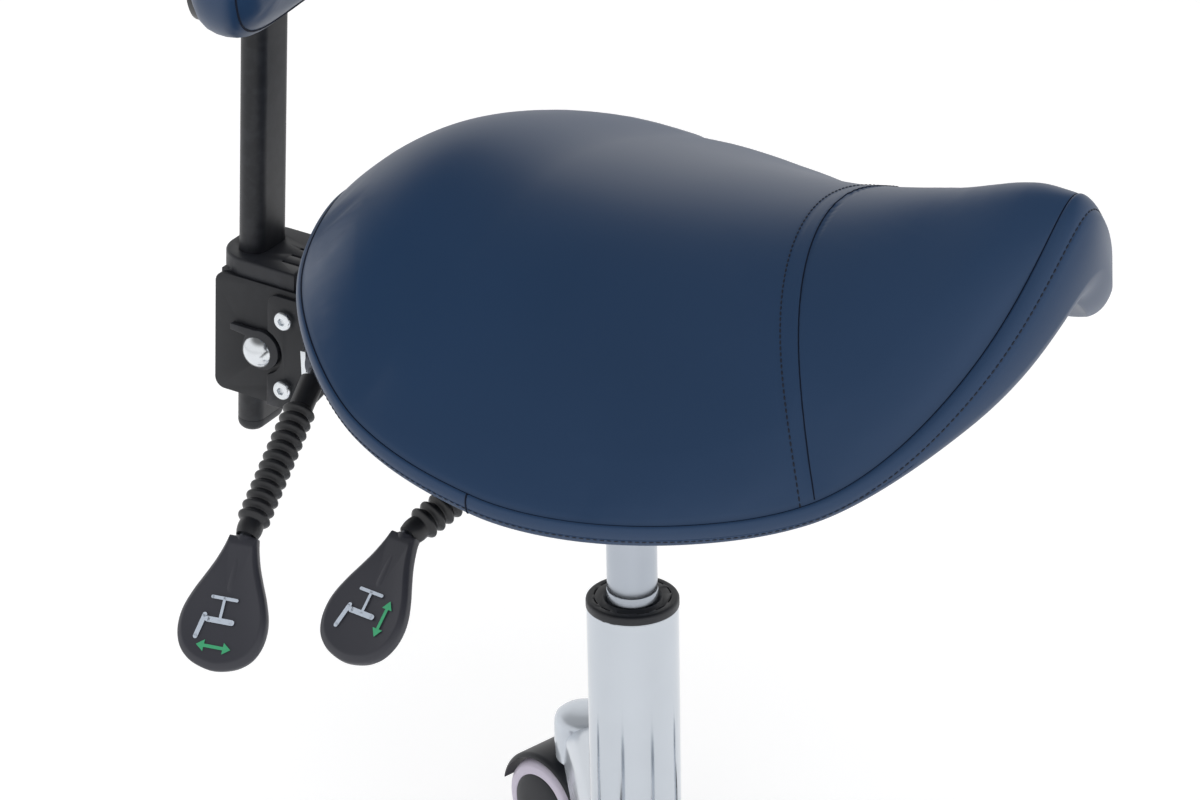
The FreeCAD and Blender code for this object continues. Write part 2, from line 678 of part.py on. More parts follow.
def make_lock_sector():
    """Upright plate behind the socket with the curved slot that limits the tilt."""
    half = SECTOR_THICKNESS / 2.0
    outline = [
        (HOUSING_REAR_F + 1.0, HOUSING_FLOOR_U + 1.0), (HOUSING_REAR_F + 1.0, HOUSING_FLOOR_U + 38.0),
        (-140.0, 136.0), (-170.0, 136.0), (-175.0, 131.0), (-172.0, 88.0), (-166.0, 82.0), (-146.0, 82.0),
        (-100.0, HOUSING_FLOOR_U + 1.0),
    ]
    plate = prism(outline, -half, half)
    reach = tilt_vector(LOCK_F, LOCK_U)
    width = SPINDLE_DIAMETER + 0.3
    margin = math.degrees(0.15 / reach)
    steps = 8
    start = -REST_LEAN - margin
    end = TILT_RANGE - REST_LEAN + margin
    axis = Vector(1, 0, 0)
    middle = at(TILT_F, BIG / 2, TILT_U)
    ring = tube(2 * reach + width, 2 * reach - width, BIG, middle, axis)
    low_f, low_u = lock_turn(end)
    high_f, high_u = lock_turn(start)
    ends = [cylinder(width, BIG, at(f, BIG / 2, u), axis) for f, u in ((low_f, low_u), (high_f, high_u))]
    far = 1.3
    wedge_points = [(TILT_F, TILT_U)]
    for index in range(steps + 1):
        f, u = lock_turn(start + (end - start) * index / steps)
        wedge_points.append((TILT_F + (f - TILT_F) * far, TILT_U + (u - TILT_U) * far))
    wedge = prism(wedge_points, -half - 5, half + 5)
    slot = ring.common(wedge)
    return plate.cut(slot).cut(ends[0]).cut(ends[1])


def make_seat_plate():
    """Flat plate under the pan, with two ears on the tilt axle."""
    plate = block(
        PLATE_REAR_F,
        PLATE_FRONT_F,
        -PLATE_HALF_WIDTH,
        PLATE_HALF_WIDTH,
        PLATE_TOP_U - PLATE_THICKNESS,
        PLATE_TOP_U,
    )
    plate = rounded(plate, 12.0, lambda e: along(e, Vector(0, 0, 1)))
    ear = [
        (TILT_F + 14.0, PLATE_TOP_U - 1.0), (TILT_F + 11.0, TILT_U - 6.0), (TILT_F + 5.0, TILT_U - 12.0),
        (TILT_F - 5.0, TILT_U - 12.0), (TILT_F - 14.0, TILT_U - 4.0), (TILT_F - 60.0, PLATE_TOP_U - 1.0),
    ]
    inner = HALF_HOUSING + LOOSE_CLEARANCE
    right = prism(ear, inner, inner + EAR_THICKNESS)
    left = prism(ear, -inner - EAR_THICKNESS, -inner)
    body = plate.fuse(right).fuse(left)
    axle = cylinder(AXLE_DIAMETER, HOUSING_WIDTH + 40, at(TILT_F, HALF_HOUSING + 20, TILT_U), Vector(1, 0, 0))
    body = body.cut(axle)
    for f, r in SEAT_BOLT_PLACES:
        body = body.cut(
            cylinder(SEAT_BOLT_DIAMETER + 2 * THREAD_CLEARANCE, 20.0, at(f, r, PLATE_TOP_U - 10.0))
        )
    return leant(body.removeSplitter())


def make_tilt_axle():
    """Bolt through the ears and the housing with a nut on its far end."""
    grip = HALF_HOUSING + LOOSE_CLEARANCE + EAR_THICKNESS
    head = 6.0
    nut = 8.0
    shank = cylinder(AXLE_DIAMETER, 2 * grip + nut + 3.0, at(TILT_F, grip, TILT_U), Vector(1, 0, 0))
    cap = cylinder(17.0, head, at(TILT_F, grip + head, TILT_U), Vector(1, 0, 0))
    cap = cap.makeFillet(2.0, [e for e in cap.Edges if e.BoundBox.XMax < -grip - head + 0.1])
    return leant(shank.fuse(cap).fuse(hexagon(17.0, nut, TILT_F, -grip, TILT_U, AXLE_DIAMETER * 0.5)))


def hexagon(across_flats, height, f, r, u, bore=0.0):
    """Hexagon nut or head that grows from r towards the sitter's left."""
    radius = across_flats / math.sqrt(3.0)
    points = []
    for index in range(6):
        angle = math.radians(60.0 * index)
        points.append(at(f + radius * math.cos(angle), r, u + radius * math.sin(angle)))
    solid = Part.Face(Part.makePolygon(points + [points[0]])).extrude(Vector(height, 0, 0))
    if bore:
        solid = solid.cut(cylinder(bore, height + 2, at(f, r + 1, u), Vector(1, 0, 0)))
    return solid


def arm_outline():
    """Side view of the back arm's cheeks, from the seat plate down to the bracket."""
    return [
        (PLATE_REAR_F + 34.0, PLATE_TOP_U - PLATE_THICKNESS), (
            PLATE_REAR_F - 4.0, PLATE_TOP_U - PLATE_THICKNESS,
        ),
        (-126.0, 158.0), (-150.0, 146.0), (-186.0, BRACKET_TOP_U - 3.0),
        (ARM_REAR_F, BRACKET_TOP_U - 3.0), (ARM_REAR_F, BRACKET_BOTTOM_U), (-182.0, BRACKET_BOTTOM_U),
        (-160.0, 96.0), (-128.0, 126.0),
    ]


def is_arm_corner(edge):
    """The upper rear corner of a cheek."""
    place = edge.Vertexes[0].Point
    near = abs(place.y + ARM_REAR_F) < 0.01 and place.z > at(0, 0, BRACKET_TOP_U - 4.0).z
    return along(edge, Vector(1, 0, 0)) and near


def make_back_arm():
    """Two cheeks outside the bracket, joined above by a web under the seat plate."""
    inner = BRACKET_HALF_WIDTH
    outer = inner + BRACKET_WALL
    cheeks = [prism(arm_outline(), inner, outer), prism(arm_outline(), -outer, -inner)]
    cheeks = [rounded(cheek, 6.0, is_arm_corner) for cheek in cheeks]
    web = block(
        PLATE_REAR_F - 3.0,
        PLATE_REAR_F + 32.0,
        -outer,
        outer,
        PLATE_TOP_U - PLATE_THICKNESS - 3.0,
        PLATE_TOP_U - PLATE_THICKNESS,
    )
    body = cheeks[0].fuse(cheeks[1]).fuse(web)
    axis = Vector(1, 0, 0)
    body = body.cut(cylinder(SPINDLE_DIAMETER, BIG, at(LOCK_F, BIG / 2, LOCK_U), axis))
    body = body.cut(cylinder(BOLT_NOTCH, BIG, at(BOLT_F + 2.5, BIG / 2, BOLT_U + 2.0), axis))
    for u in SIDE_SCREW_U:
        body = body.cut(cylinder(SIDE_SCREW_DIAMETER, BIG, at(SIDE_SCREW_F, BIG / 2, u), axis))
    return leant(body.removeSplitter())


def spindle_place():
    """Place of the lock spindle's axis once the seat group leans forward."""
    lean = math.radians(REST_LEAN)
    ahead = LOCK_F - TILT_F
    above = LOCK_U - TILT_U
    return TILT_F + ahead * math.cos(lean) + above * math.sin(lean), TILT_U + above * math.cos(lean) - ahead * math.sin(lean)


def make_lock_spindle():
    """Cross pin of the lock: a head at the left, and a fork for the hand lever at the right."""
    f, u = spindle_place()
    outer = BRACKET_HALF_WIDTH + BRACKET_WALL
    axis = Vector(1, 0, 0)
    root = FORK_PIVOT_R - EYE_DIAMETER / 2.0 - 1.0
    pin = cylinder(SPINDLE_DIAMETER, root + outer, at(f, root, u), axis)
    head = cylinder(15.0, 4.0, at(f, -outer, u), axis)
    base = block(f - FORK_WIDTH / 2.0, f + FORK_WIDTH / 2.0, outer + FACE_GAP, root, u - 7.0, u + 7.0)
    body = pin.fuse(head).fuse(base)
    for side in (-1, 1):
        low = f + side * (EYE_WIDTH / 2.0 + FACE_GAP * 3)
        cheek = block(
            low, f + side * FORK_WIDTH / 2.0, outer + FACE_GAP, FORK_PIVOT_R + 6.0, u - 7.0, u + 7.0,
        )
        body = body.fuse(cheek)
    cross = cylinder(
        PIVOT_PIN_DIAMETER, FORK_WIDTH, at(f + FORK_WIDTH / 2.0, FORK_PIVOT_R, u), Vector(0, 1, 0),
    )
    return body.fuse(cross).removeSplitter()


def make_lock_discs():
    """Friction tubes on the spindle that press on both faces of the lock sector."""
    axis = Vector(1, 0, 0)
    inner = SECTOR_THICKNESS / 2.0 + FACE_GAP
    length = BRACKET_HALF_WIDTH - inner
    right = tube(16.0, SPINDLE_DIAMETER, length, at(LOCK_F, BRACKET_HALF_WIDTH, LOCK_U), axis)
    left = tube(16.0, SPINDLE_DIAMETER, length, at(LOCK_F, -inner, LOCK_U), axis)
    return [leant(right), leant(left)]


def make_tilt_spring():
    """Closed outer form of the compression spring between housing floor and seat plate."""
    bottom = HOUSING_FLOOR_U + HOUSING_WALL + FACE_GAP
    lean = math.radians(REST_LEAN)
    across = SPRING_F - TILT_F
    down = PLATE_TOP_U - PLATE_THICKNESS - TILT_U
    outer = SPRING_MEAN_RADIUS + SPRING_WIRE / 2.0
    plate_u = TILT_U - across * math.tan(lean) + down / math.cos(lean)
    top = plate_u - LOOSE_CLEARANCE - outer * math.tan(lean)
    return tube(2 * outer, 2 * outer - 2 * SPRING_WIRE, top - bottom, at(SPRING_F, 0, bottom))


# Hand levers: each is made along +X and then laid along its own direction

LIFT_NECK = (-52.0, 140.0, 93.0)
LIFT_TIP = (-60.0, 188.0, 43.0)
LOCK_NECK = (-152.0, 140.0, 68.0)
LOCK_TIP = (-146.5, 185.0, 10.5)
LIFT_PIVOT = (-18.0, 39.0, 127.0)
LOCK_PIVOT = (spindle_place()[0], FORK_PIVOT_R, spindle_place()[1])


def frame_along(origin, target, face):
    """Placement whose X runs from origin to target and whose Z leans to face."""
    x = target - origin
    x.normalize()
    y = face.cross(x)
    y.normalize()
    z = x.cross(y)
    matrix = Matrix(x.x, y.x, z.x, origin.x, x.y, y.y, z.y, origin.y, x.z, y.z, z.z, origin.z, 0, 0, 0, 1)
    return Placement(matrix)


def placed(shape, placement):
    copy = shape.copy()
    copy.Placement = placement.multiply(copy.Placement)
    return copy


def make_sleeve(reach):
    """Corrugated rubber sleeve: smooth cuffs at both ends and ribs between, on +X."""
    root = SLEEVE_ROOT_DIAMETER / 2.0
    crest = SLEEVE_CREST_DIAMETER / 2.0
    rings = [(SLEEVE_START, root - 0.6), (SLEEVE_START + CUFF_LENGTH, root - 0.2)]
    x = SLEEVE_START + CUFF_LENGTH
    for _ in range(SLEEVE_RIBS):
        rings.append((x + SLEEVE_PITCH * 0.06, root))
        rings.append((x + SLEEVE_PITCH * 0.38, crest))
        rings.append((x + SLEEVE_PITCH * 0.62, crest))
        rings.append((x + SLEEVE_PITCH * 0.94, root))
        x = x + SLEEVE_PITCH
    rings.append((reach - 0.5, root - 1.4))
    wires = [
        Part.Wire(Part.Circle(Vector(place, 0, 0), Vector(1, 0, 0), radius).toShape())
        for place, radius in rings
    ]
    body = Part.makeLoft(wires, True, True)
    bore = cylinder(LEVER_ROD_DIAMETER + 2 * SHAFT_CLEARANCE, BIG, Vector(-BIG / 2, 0, 0), Vector(1, 0, 0))
    return body.cut(bore)


def paddle_outline(inset):
    """Teardrop outline: narrow neck, wide round end, drawn with arcs and lines."""
    neck = PADDLE_NECK_WIDTH / 2.0 - inset
    half = PADDLE_WIDTH / 2.0 - inset
    start = inset
    end = PADDLE_LENGTH - inset
    wide = PADDLE_LENGTH * 0.63
    flank = PADDLE_LENGTH * 0.30
    flank_half = PADDLE_WIDTH * 0.31 - inset
    a = Vector(start, -neck, 0)
    b = Vector(start, neck, 0)
    flank_left = Vector(flank, flank_half, 0)
    flank_right = Vector(flank, -flank_half, 0)
    left = Vector(wide, half, 0)
    right = Vector(wide, -half, 0)
    tip = Vector(end, 0, 0)
    left_mid = Vector((flank + wide) / 2.0, (flank_half + half) / 2.0 + 2.2, 0)
    right_mid = Vector((flank + wide) / 2.0, -(flank_half + half) / 2.0 - 2.2, 0)
    bow = math.sqrt(0.5)
    reach = end - wide
    end_left = Vector(wide + reach * bow, half * bow + 1.0, 0)
    end_right = Vector(wide + reach * bow, -half * bow - 1.0, 0)
    edges = [
        Part.LineSegment(a, b), Part.LineSegment(b, flank_left), Part.Arc(flank_left, left_mid, left),
        Part.Arc(left, end_left, tip), Part.Arc(tip, end_right, right),
        Part.Arc(right, right_mid, flank_right), Part.LineSegment(flank_right, a),
    ]
    return Part.Wire([edge.toShape() for edge in edges])


def make_paddle():
    """Hand paddle with a bevelled rim and a rod socket behind its neck."""
    bevel = 2.0
    full = Part.Face(paddle_outline(0.0)).extrude(Vector(0, 0, PADDLE_THICKNESS - bevel))
    low = paddle_outline(0.0)
    low.translate(Vector(0, 0, PADDLE_THICKNESS - bevel))
    high = paddle_outline(bevel)
    high.translate(Vector(0, 0, PADDLE_THICKNESS))
    crown = Part.makeLoft([low, high], True, True)
    body = full.fuse(crown)
    body.translate(Vector(0, 0, -PADDLE_THICKNESS * 0.2))
    return body.removeSplitter()


def bent_rod(points, diameter):
    """Round rod through points, with ball-shaped bends."""
    rod = None
    for start, end in zip(points[:-1], points[1:]):
        way = end - start
        length = way.Length
        way.normalize()
        piece = cylinder(diameter, length, start, way)
        rod = piece if rod is None else rod.fuse(piece).fuse(Part.makeSphere(diameter / 2.0, start))
    return rod


def lever_pieces(pivot, neck, tip, inner_points, eye_diameter):
    """Rod, sleeve and paddle of one lever in their places."""
    start = at(*pivot)
    middle = at(*neck)
    end = at(*tip)
    up = Vector(0, 0, 1)
    rod_frame = frame_along(start, middle, up)
    paddle_frame = frame_along(middle, end, up)
    reach = (middle - start).Length
    sleeve = placed(make_sleeve(reach), rod_frame)
    grip = 22.0
    way = end - middle
    way.normalize()
    rod = bent_rod(inner_points + [start, middle, middle + way * grip], LEVER_ROD_DIAMETER)
    across = Vector(0, 1, 0)
    eye = cylinder(eye_diameter, EYE_WIDTH, start - across * (EYE_WIDTH / 2.0), across)
    pin_hole = cylinder(
        PIVOT_PIN_DIAMETER + 2 * SHAFT_CLEARANCE, 2 * EYE_WIDTH, start - across * EYE_WIDTH, across,
    )
    rod = rod.fuse(eye).cut(pin_hole)
    paddle = make_paddle()
    socket = cylinder(LEVER_ROD_DIAMETER + 5.0, 34.0, Vector(0, 0, 0), Vector(1, 0, 0))
    socket = socket.makeFillet(2.5, [e for e in socket.Edges if e.BoundBox.XMin > 33.0])
    rib = Part.makeBox(22.0, 3.0, 5.0, Vector(24.0, -1.5, -5.5))
    paddle = placed(paddle.fuse(socket).fuse(rib), paddle_frame)
    elbow = Part.makeSphere(LEVER_ROD_DIAMETER / 2.0 + 2.5, middle)
    half_space = placed(Part.makeBox(BIG, BIG, BIG, Vector(reach - 0.4, -BIG / 2, -BIG / 2)), rod_frame)
    paddle = paddle.fuse(elbow.common(half_space)).common(half_space)
    paddle = paddle.cut(rod)
    return rod, sleeve, paddle


def make_levers():
    pivot = LIFT_PIVOT
    tip_over_button = (0.0, 0.0, BUTTON_TOP_U + LEVER_ROD_DIAMETER / 2.0 + FACE_GAP)
    knee = (pivot[0], pivot[1] - 14.0, tip_over_button[2])
    inner = [at(0.0, -2.0, tip_over_button[2]), at(*knee)]
    rod, sleeve, paddle = lever_pieces(pivot, LIFT_NECK, LIFT_TIP, inner, EYE_DIAMETER - 3.0)
    save("lift_lever_rod", rod)
    save("lift_lever_sleeve", sleeve)
    save("lift_lever_paddle", paddle)
    rod, sleeve, paddle = lever_pieces(LOCK_PIVOT, LOCK_NECK, LOCK_TIP, [], EYE_DIAMETER)
    save("lock_lever_rod", rod)
    save("lock_lever_sleeve", sleeve)
    save("lock_lever_paddle", paddle)


def make_mechanism():
    save("mechanism_housing", make_housing())
    save("seat_plate", make_seat_plate())
    save("tilt_axle", make_tilt_axle())
    save("tilt_spring", make_tilt_spring())
    save("back_arm", make_back_arm())
    save("lock_spindle", make_lock_spindle())
    save("lock_discs", make_lock_discs())
    make_levers()


# Seat shell and cushion

# Stations along the seat: the ridge's height, how steeply its flanks fall, and
# how rounded the ridge is
RIDGE_U = (
    (-190.0, 194.9),
    (-117.0, 245.7),
    (-43.0, 242.3),
    (30.0, 245.3),
    (103.0, 253.8),
    (177.0, 272.0),
    (250.0, 293.5),
)
FLANK_FALL = ((-190.0, 0.56), (-80.0, 0.43), (30.0, 0.59), (140.0, 0.87), (250.0, 1.53))
RIDGE_ROUNDING = ((-190.0, 60.6), (30.0, 96.6), (250.0, 21.1))
REAR_POWERS = (2.57, 0.78)
FRONT_POWERS = (1.74, 0.57)
NOSE_REACH = 20.4
FOAM_BELOW_PAN_TOP = 6.0
CUSHION_STATIONS = (
    -171.5, -163.0, -146.0, -115.0, -70.0, -20.0, 31.0, 90.0, 150.0, 200.0, 236.0, 256.0, 270.0,
)
PAN_STATIONS = (-142.0, -128.0, -100.0, -60.0, -20.0, 31.0, 90.0, 150.0, 180.0, 202.0)


def smooth_value(stations, f):
    """Smooth curve through a few stations."""
    places = [place for place, _ in stations]
    values = [value for _, value in stations]
    f = min(max(f, places[0]), places[-1])
    index = max(i for i in range(len(places) - 1) if places[i] <= f)

    def slope(i):
        low = max(i - 1, 0)
        high = min(i + 1, len(places) - 1)
        return (values[high] - values[low]) / (places[high] - places[low])

    span = places[index + 1] - places[index]
    t = (f - places[index]) / span
    return (
        values[index] * (1 + 2 * t) * (1 - t) ** 2
        + slope(index) * span * t * (1 - t) ** 2
        + values[index + 1] * t * t * (3 - 2 * t)
        - slope(index + 1) * span * t * t * (1 - t)
    )


def seat_top(f, r):
    """Height of the saddle's upper surface above the column's top."""
    rounding = smooth_value(RIDGE_ROUNDING, f)
    fall = smooth_value(FLANK_FALL, f)
    return smooth_value(RIDGE_U, f) - fall * (math.hypot(rounding, r) - rounding)


def outline_half_width(f, grow):
    """Half width of the seat's plan outline, grown outwards all round."""
    nose = grow * NOSE_REACH / EDGE_BULGE
    if f > SEAT_MIDDLE_F:
        share = (f - SEAT_MIDDLE_F) / (SEAT_FRONT_F + nose - SEAT_MIDDLE_F)
        power, root = FRONT_POWERS
    else:
        share = (SEAT_MIDDLE_F - f) / (SEAT_MIDDLE_F - SEAT_REAR_F + grow)
        power, root = REAR_POWERS
    share = min(max(share, 0.0), 1.0)
    return (SEAT_HALF_WIDTH + grow) * (1.0 - share ** power) ** root


def edge_height(f):
    """Height of the cushion's side, taller at the nose."""
    share = min(max((f - NOSE_START_F) / (SEAT_FRONT_F - NOSE_START_F), 0.0), 1.0)
    return EDGE_HEIGHT + (NOSE_HEIGHT - EDGE_HEIGHT) * share ** NOSE_GROWTH


def end_drop(f):
    """How far the top rolls down past the ends of the sewn outline."""
    front = max(f - (SEAT_FRONT_F - 10.0), 0.0) / (NOSE_REACH + 10.0)
    rear = max(SEAT_REAR_F + 8.0 - f, 0.0) / (EDGE_BULGE + 8.0)
    return front * front * NOSE_HEIGHT * 0.42 + rear * rear * EDGE_HEIGHT * 0.45


def arc_chain(points):
    """Arcs through successive triples of points, as edges."""
    edges = []
    for index in range(0, len(points) - 2, 2):
        edges.append(Part.Arc(points[index], points[index + 1], points[index + 2]).toShape())
    return edges


def cushion_section(f, inset, lower):
    """Closed cross-section of the cushion: crowned top, rolled sides, hollow below."""
    body = outline_half_width(f, EDGE_BULGE)
    seam = max(body - EDGE_BULGE - 1.0, body * 0.72) - inset
    body = body - inset
    drop = end_drop(f) + inset
    height = edge_height(f) - 2.0 * end_drop(f) - inset + lower
    flat = min(max(f, SEAT_REAR_F + 4.0), SEAT_FRONT_F - 4.0)
    centre = FOAM_CENTRE + FOAM_BELOW_PAN_TOP + lower - inset

    def top(share):
        return at(f, share * seam, seat_top(flat, share * seam) - drop)

    def under(share):
        thickness = centre + (height - centre) * share * share
        if drop > inset:
            thickness = height
        return at(f, share * (seam - 3.0), seat_top(flat, share * seam) - drop - thickness)

    def side(sign):
        return at(f, sign * body, seat_top(flat, seam) - drop - 0.42 * height)

    points = [
        top(-0.5), top(0.0), top(0.5), top(0.75), top(1.0), side(1.0), under(1.0), under(0.75), under(0.5),
        under(0.0), under(-0.5), under(-0.75), under(-1.0), side(-1.0), top(-1.0), top(-0.75), top(-0.5),
    ]
    return Part.Wire(arc_chain(points))


def pan_section(f, low, high):
    """Closed cross-section of the moulded pan, between two depths under the cushion's top."""
    seam = max(outline_half_width(f, EDGE_BULGE) - EDGE_BULGE - 1.0, 10.0)
    half = max(seam - PAN_INSET, 16.0)
    edge = edge_height(f) - FOAM_BELOW_PAN_TOP

    def surface(share, depth):
        r = share * half
        thickness = FOAM_CENTRE + (edge - FOAM_CENTRE) * (r / seam) ** 2
        return at(f, r, seat_top(f, r) - thickness - depth)

    shares = (-1.0, -0.75, -0.5, 0.0, 0.5, 0.75, 1.0)
    upper = [surface(share, high) for share in shares]
    under = [surface(share, low) for share in reversed(shares)]
    edges = arc_chain(upper)
    edges.append(Part.LineSegment(upper[-1], under[0]).toShape())
    edges = edges + arc_chain(under)
    edges.append(Part.LineSegment(under[-1], upper[0]).toShape())
    return Part.Wire(edges)


def make_seat():
    """Pan, foam and cover; the cover is a skin over the foam, open below."""
    body = Part.makeLoft([cushion_section(f, 0.0, 0.0) for f in CUSHION_STATIONS], True, False)
    middle = (CUSHION_STATIONS[0] + CUSHION_STATIONS[-1]) / 2.0
    reach = (CUSHION_STATIONS[-1] - CUSHION_STATIONS[0]) / 2.0
    ratio = (reach - COVER_THICKNESS) / reach
    inner_stations = [middle + (f - middle) * ratio for f in CUSHION_STATIONS]
    inside = Part.makeLoft([cushion_section(f, COVER_THICKNESS, 6.0) for f in inner_stations], True, False)
    pan = Part.makeLoft([pan_section(f, PAN_THICKNESS, 0.0) for f in PAN_STATIONS], True, False)
    print("cushion", body.isValid(), "inside", inside.isValid(), "pan", pan.isValid())
    cover = body.cut(inside).cut(pan)
    foam = body.common(inside).cut(pan)
    foam = max(foam.Solids, key=lambda solid: solid.Volume)
    margin = 3.0
    boss = leant(
        block(
            PLATE_REAR_F + margin,
            PLATE_FRONT_F - margin,
            -PLATE_HALF_WIDTH + margin,
            PLATE_HALF_WIDTH - margin,
            PLATE_TOP_U,
            PLATE_TOP_U + 34.0,
        )
    )
    boss = boss.cut(body.cut(pan))
    boss = max(boss.Solids, key=lambda solid: solid.Volume) if boss.Solids else boss
    plate_room = leant(
        block(
            PLATE_REAR_F - margin,
            PLATE_FRONT_F + margin,
            -PLATE_HALF_WIDTH - margin,
            PLATE_HALF_WIDTH + margin,
            PLATE_TOP_U - 40.0,
            PLATE_TOP_U,
        )
    )
    pan = pan.fuse(boss).cut(plate_room)
    bolts = []
    for f, r in SEAT_BOLT_PLACES:
        length = SEAT_BOLT_LENGTH
        shank = cylinder(
            SEAT_BOLT_DIAMETER, length + PLATE_THICKNESS, at(f, r, PLATE_TOP_U - PLATE_THICKNESS),
        )
        head = bolt_head(f, r, PLATE_TOP_U - PLATE_THICKNESS)
        bolts.append(leant(shank.fuse(head)))
        hole = leant(cylinder(SEAT_BOLT_DIAMETER, length + 1.0, at(f, r, PLATE_TOP_U - 1.0)))
        pan = pan.cut(hole)
        foam = foam.cut(hole)
    save("seat_pan", pan)
    save("seat_foam", foam)
    save("seat_cover", cover)
    save("seat_bolts", bolts)


def bolt_head(f, r, u):
    """Hexagon head below a level, for an upright bolt."""
    radius = 13.0 / math.sqrt(3.0)
    height = 5.3
    points = []
    for index in range(6):
        angle = math.radians(60.0 * index)
        points.append(at(f + radius * math.cos(angle), r + radius * math.sin(angle), u - height))
    face = Part.Face(Part.makePolygon(points + [points[0]]))
    return face.extrude(Vector(0, 0, height))


# Back bracket, upright and lumbar pad


def stadium(width, depth, f, u0, u1):
    """Flat-oval bar standing on end, its long side across the seat."""
    straight = (width - depth) / 2.0
    core = block(f - depth / 2.0, f + depth / 2.0, -straight, straight, u0, u1)
    ends = [cylinder(depth, u1 - u0, at(f, side * straight, u0)) for side in (-1, 1)]
    return core.fuse(ends[0]).fuse(ends[1]).removeSplitter()


def make_bracket():
    """Folded clamp bracket: two cheeks beside the upright and a web before it."""
    outer = BRACKET_HALF_WIDTH
    inner = outer - BRACKET_WALL
    body = block(BRACKET_REAR_F, BRACKET_FRONT_F, -outer, outer, BRACKET_BOTTOM_U, BRACKET_TOP_U)
    body = rounded(
        body, 3.0, lambda e: along(e, Vector(0, 0, 1)) and e.BoundBox.YMin < -BRACKET_FRONT_F + 1.0,
    )
    room = block(
        BRACKET_REAR_F - 10.0,
        BRACKET_FRONT_F - BRACKET_WALL,
        -inner,
        inner,
        BRACKET_BOTTOM_U - 5.0,
        BRACKET_TOP_U + 5.0,
    )
    body = body.cut(room)
    body = rounded(body, 6.0, lambda e: along(e, Vector(1, 0, 0)) and e.BoundBox.YMin > -BRACKET_REAR_F - 1.0)
    axis = Vector(1, 0, 0)
    body = body.cut(cylinder(BOLT_DIAMETER + 2 * THREAD_CLEARANCE, BIG, at(BOLT_F, BIG / 2, BOLT_U), axis))
    for u in SIDE_SCREW_U:
        body = body.cut(cylinder(SIDE_SCREW_DIAMETER, BIG, at(SIDE_SCREW_F, BIG / 2, u), axis))
    return leant(body)


def make_collar():
    """Plastic guide in the bracket's mouth with a thick rounded top."""
    inner = BRACKET_HALF_WIDTH - BRACKET_WALL - FACE_GAP
    half = BRACKET_HALF_WIDTH - 1.5
    front = BRACKET_FRONT_F - 6.0
    lip = block(BRACKET_REAR_F - 3.0, front, -half, half, BRACKET_TOP_U, BRACKET_TOP_U + COLLAR_HEIGHT)
    lip = rounded(lip, 19.0, lambda e: along(e, Vector(0, 0, 1)) and e.BoundBox.YMin > -UPRIGHT_F)
    top = COLUMN_TOP_Z + BRACKET_TOP_U + COLLAR_HEIGHT
    lip = lip.makeFillet(1.5, [e for e in lip.Edges if e.BoundBox.ZMin > top - 0.1])
    insert = block(
        BRACKET_REAR_F + 2.0, BOLT_F + 8.0, -inner, inner, BRACKET_TOP_U - COLLAR_INSERT, BRACKET_TOP_U + 1.0,
    )
    body = lip.fuse(insert)
    slot_depth = 3.0
    for r in (12.0, 3.0, -6.0):
        slot = block(
            front - 15.0,
            front - 3.0,
            r,
            r + 2.0,
            BRACKET_TOP_U + COLLAR_HEIGHT - slot_depth,
            BRACKET_TOP_U + COLLAR_HEIGHT + 5.0,
        )
        body = body.cut(slot)
    passage = stadium(
        UPRIGHT_WIDTH + 2 * UPRIGHT_FIT,
        UPRIGHT_DEPTH + 2 * UPRIGHT_FIT,
        UPRIGHT_F,
        BRACKET_BOTTOM_U,
        BRACKET_TOP_U + 50.0,
    )
    return leant(body.cut(passage).removeSplitter())


def make_upright():
    outer = stadium(UPRIGHT_WIDTH, UPRIGHT_DEPTH, UPRIGHT_F, UPRIGHT_BOTTOM_U, UPRIGHT_TOP_U)
    bore = stadium(
        UPRIGHT_WIDTH - 2 * UPRIGHT_WALL,
        UPRIGHT_DEPTH - 2 * UPRIGHT_WALL,
        UPRIGHT_F,
        UPRIGHT_BOTTOM_U - 5.0,
        UPRIGHT_TOP_U + 5.0,
    )
    return leant(outer.cut(bore))


def make_upright_plugs():
    """Plastic end plugs: a rounded cap on the tube's end and a stub inside it."""
    plugs = []
    for end, way in ((UPRIGHT_BOTTOM_U, -1.0), (UPRIGHT_TOP_U, 1.0)):
        low, high = sorted((end, end + way * PLUG_HEIGHT))
        cap = stadium(UPRIGHT_WIDTH, UPRIGHT_DEPTH, UPRIGHT_F, low, high)
        tip_z = COLUMN_TOP_Z + end + way * PLUG_HEIGHT
        cap = cap.makeFillet(
            5.0,
            [
                e
                for e in cap.Edges if abs(e.BoundBox.ZMin - tip_z) < 0.01 and abs(
                    e.BoundBox.ZMax - tip_z
                ) < 0.01
            ],
        )
        low, high = sorted((end, end - way * PLUG_INSERT))
        stub = stadium(
            UPRIGHT_WIDTH - 2 * UPRIGHT_WALL, UPRIGHT_DEPTH - 2 * UPRIGHT_WALL, UPRIGHT_F, low, high,
        )
        plugs.append(leant(cap.fuse(stub).removeSplitter()))
    return plugs


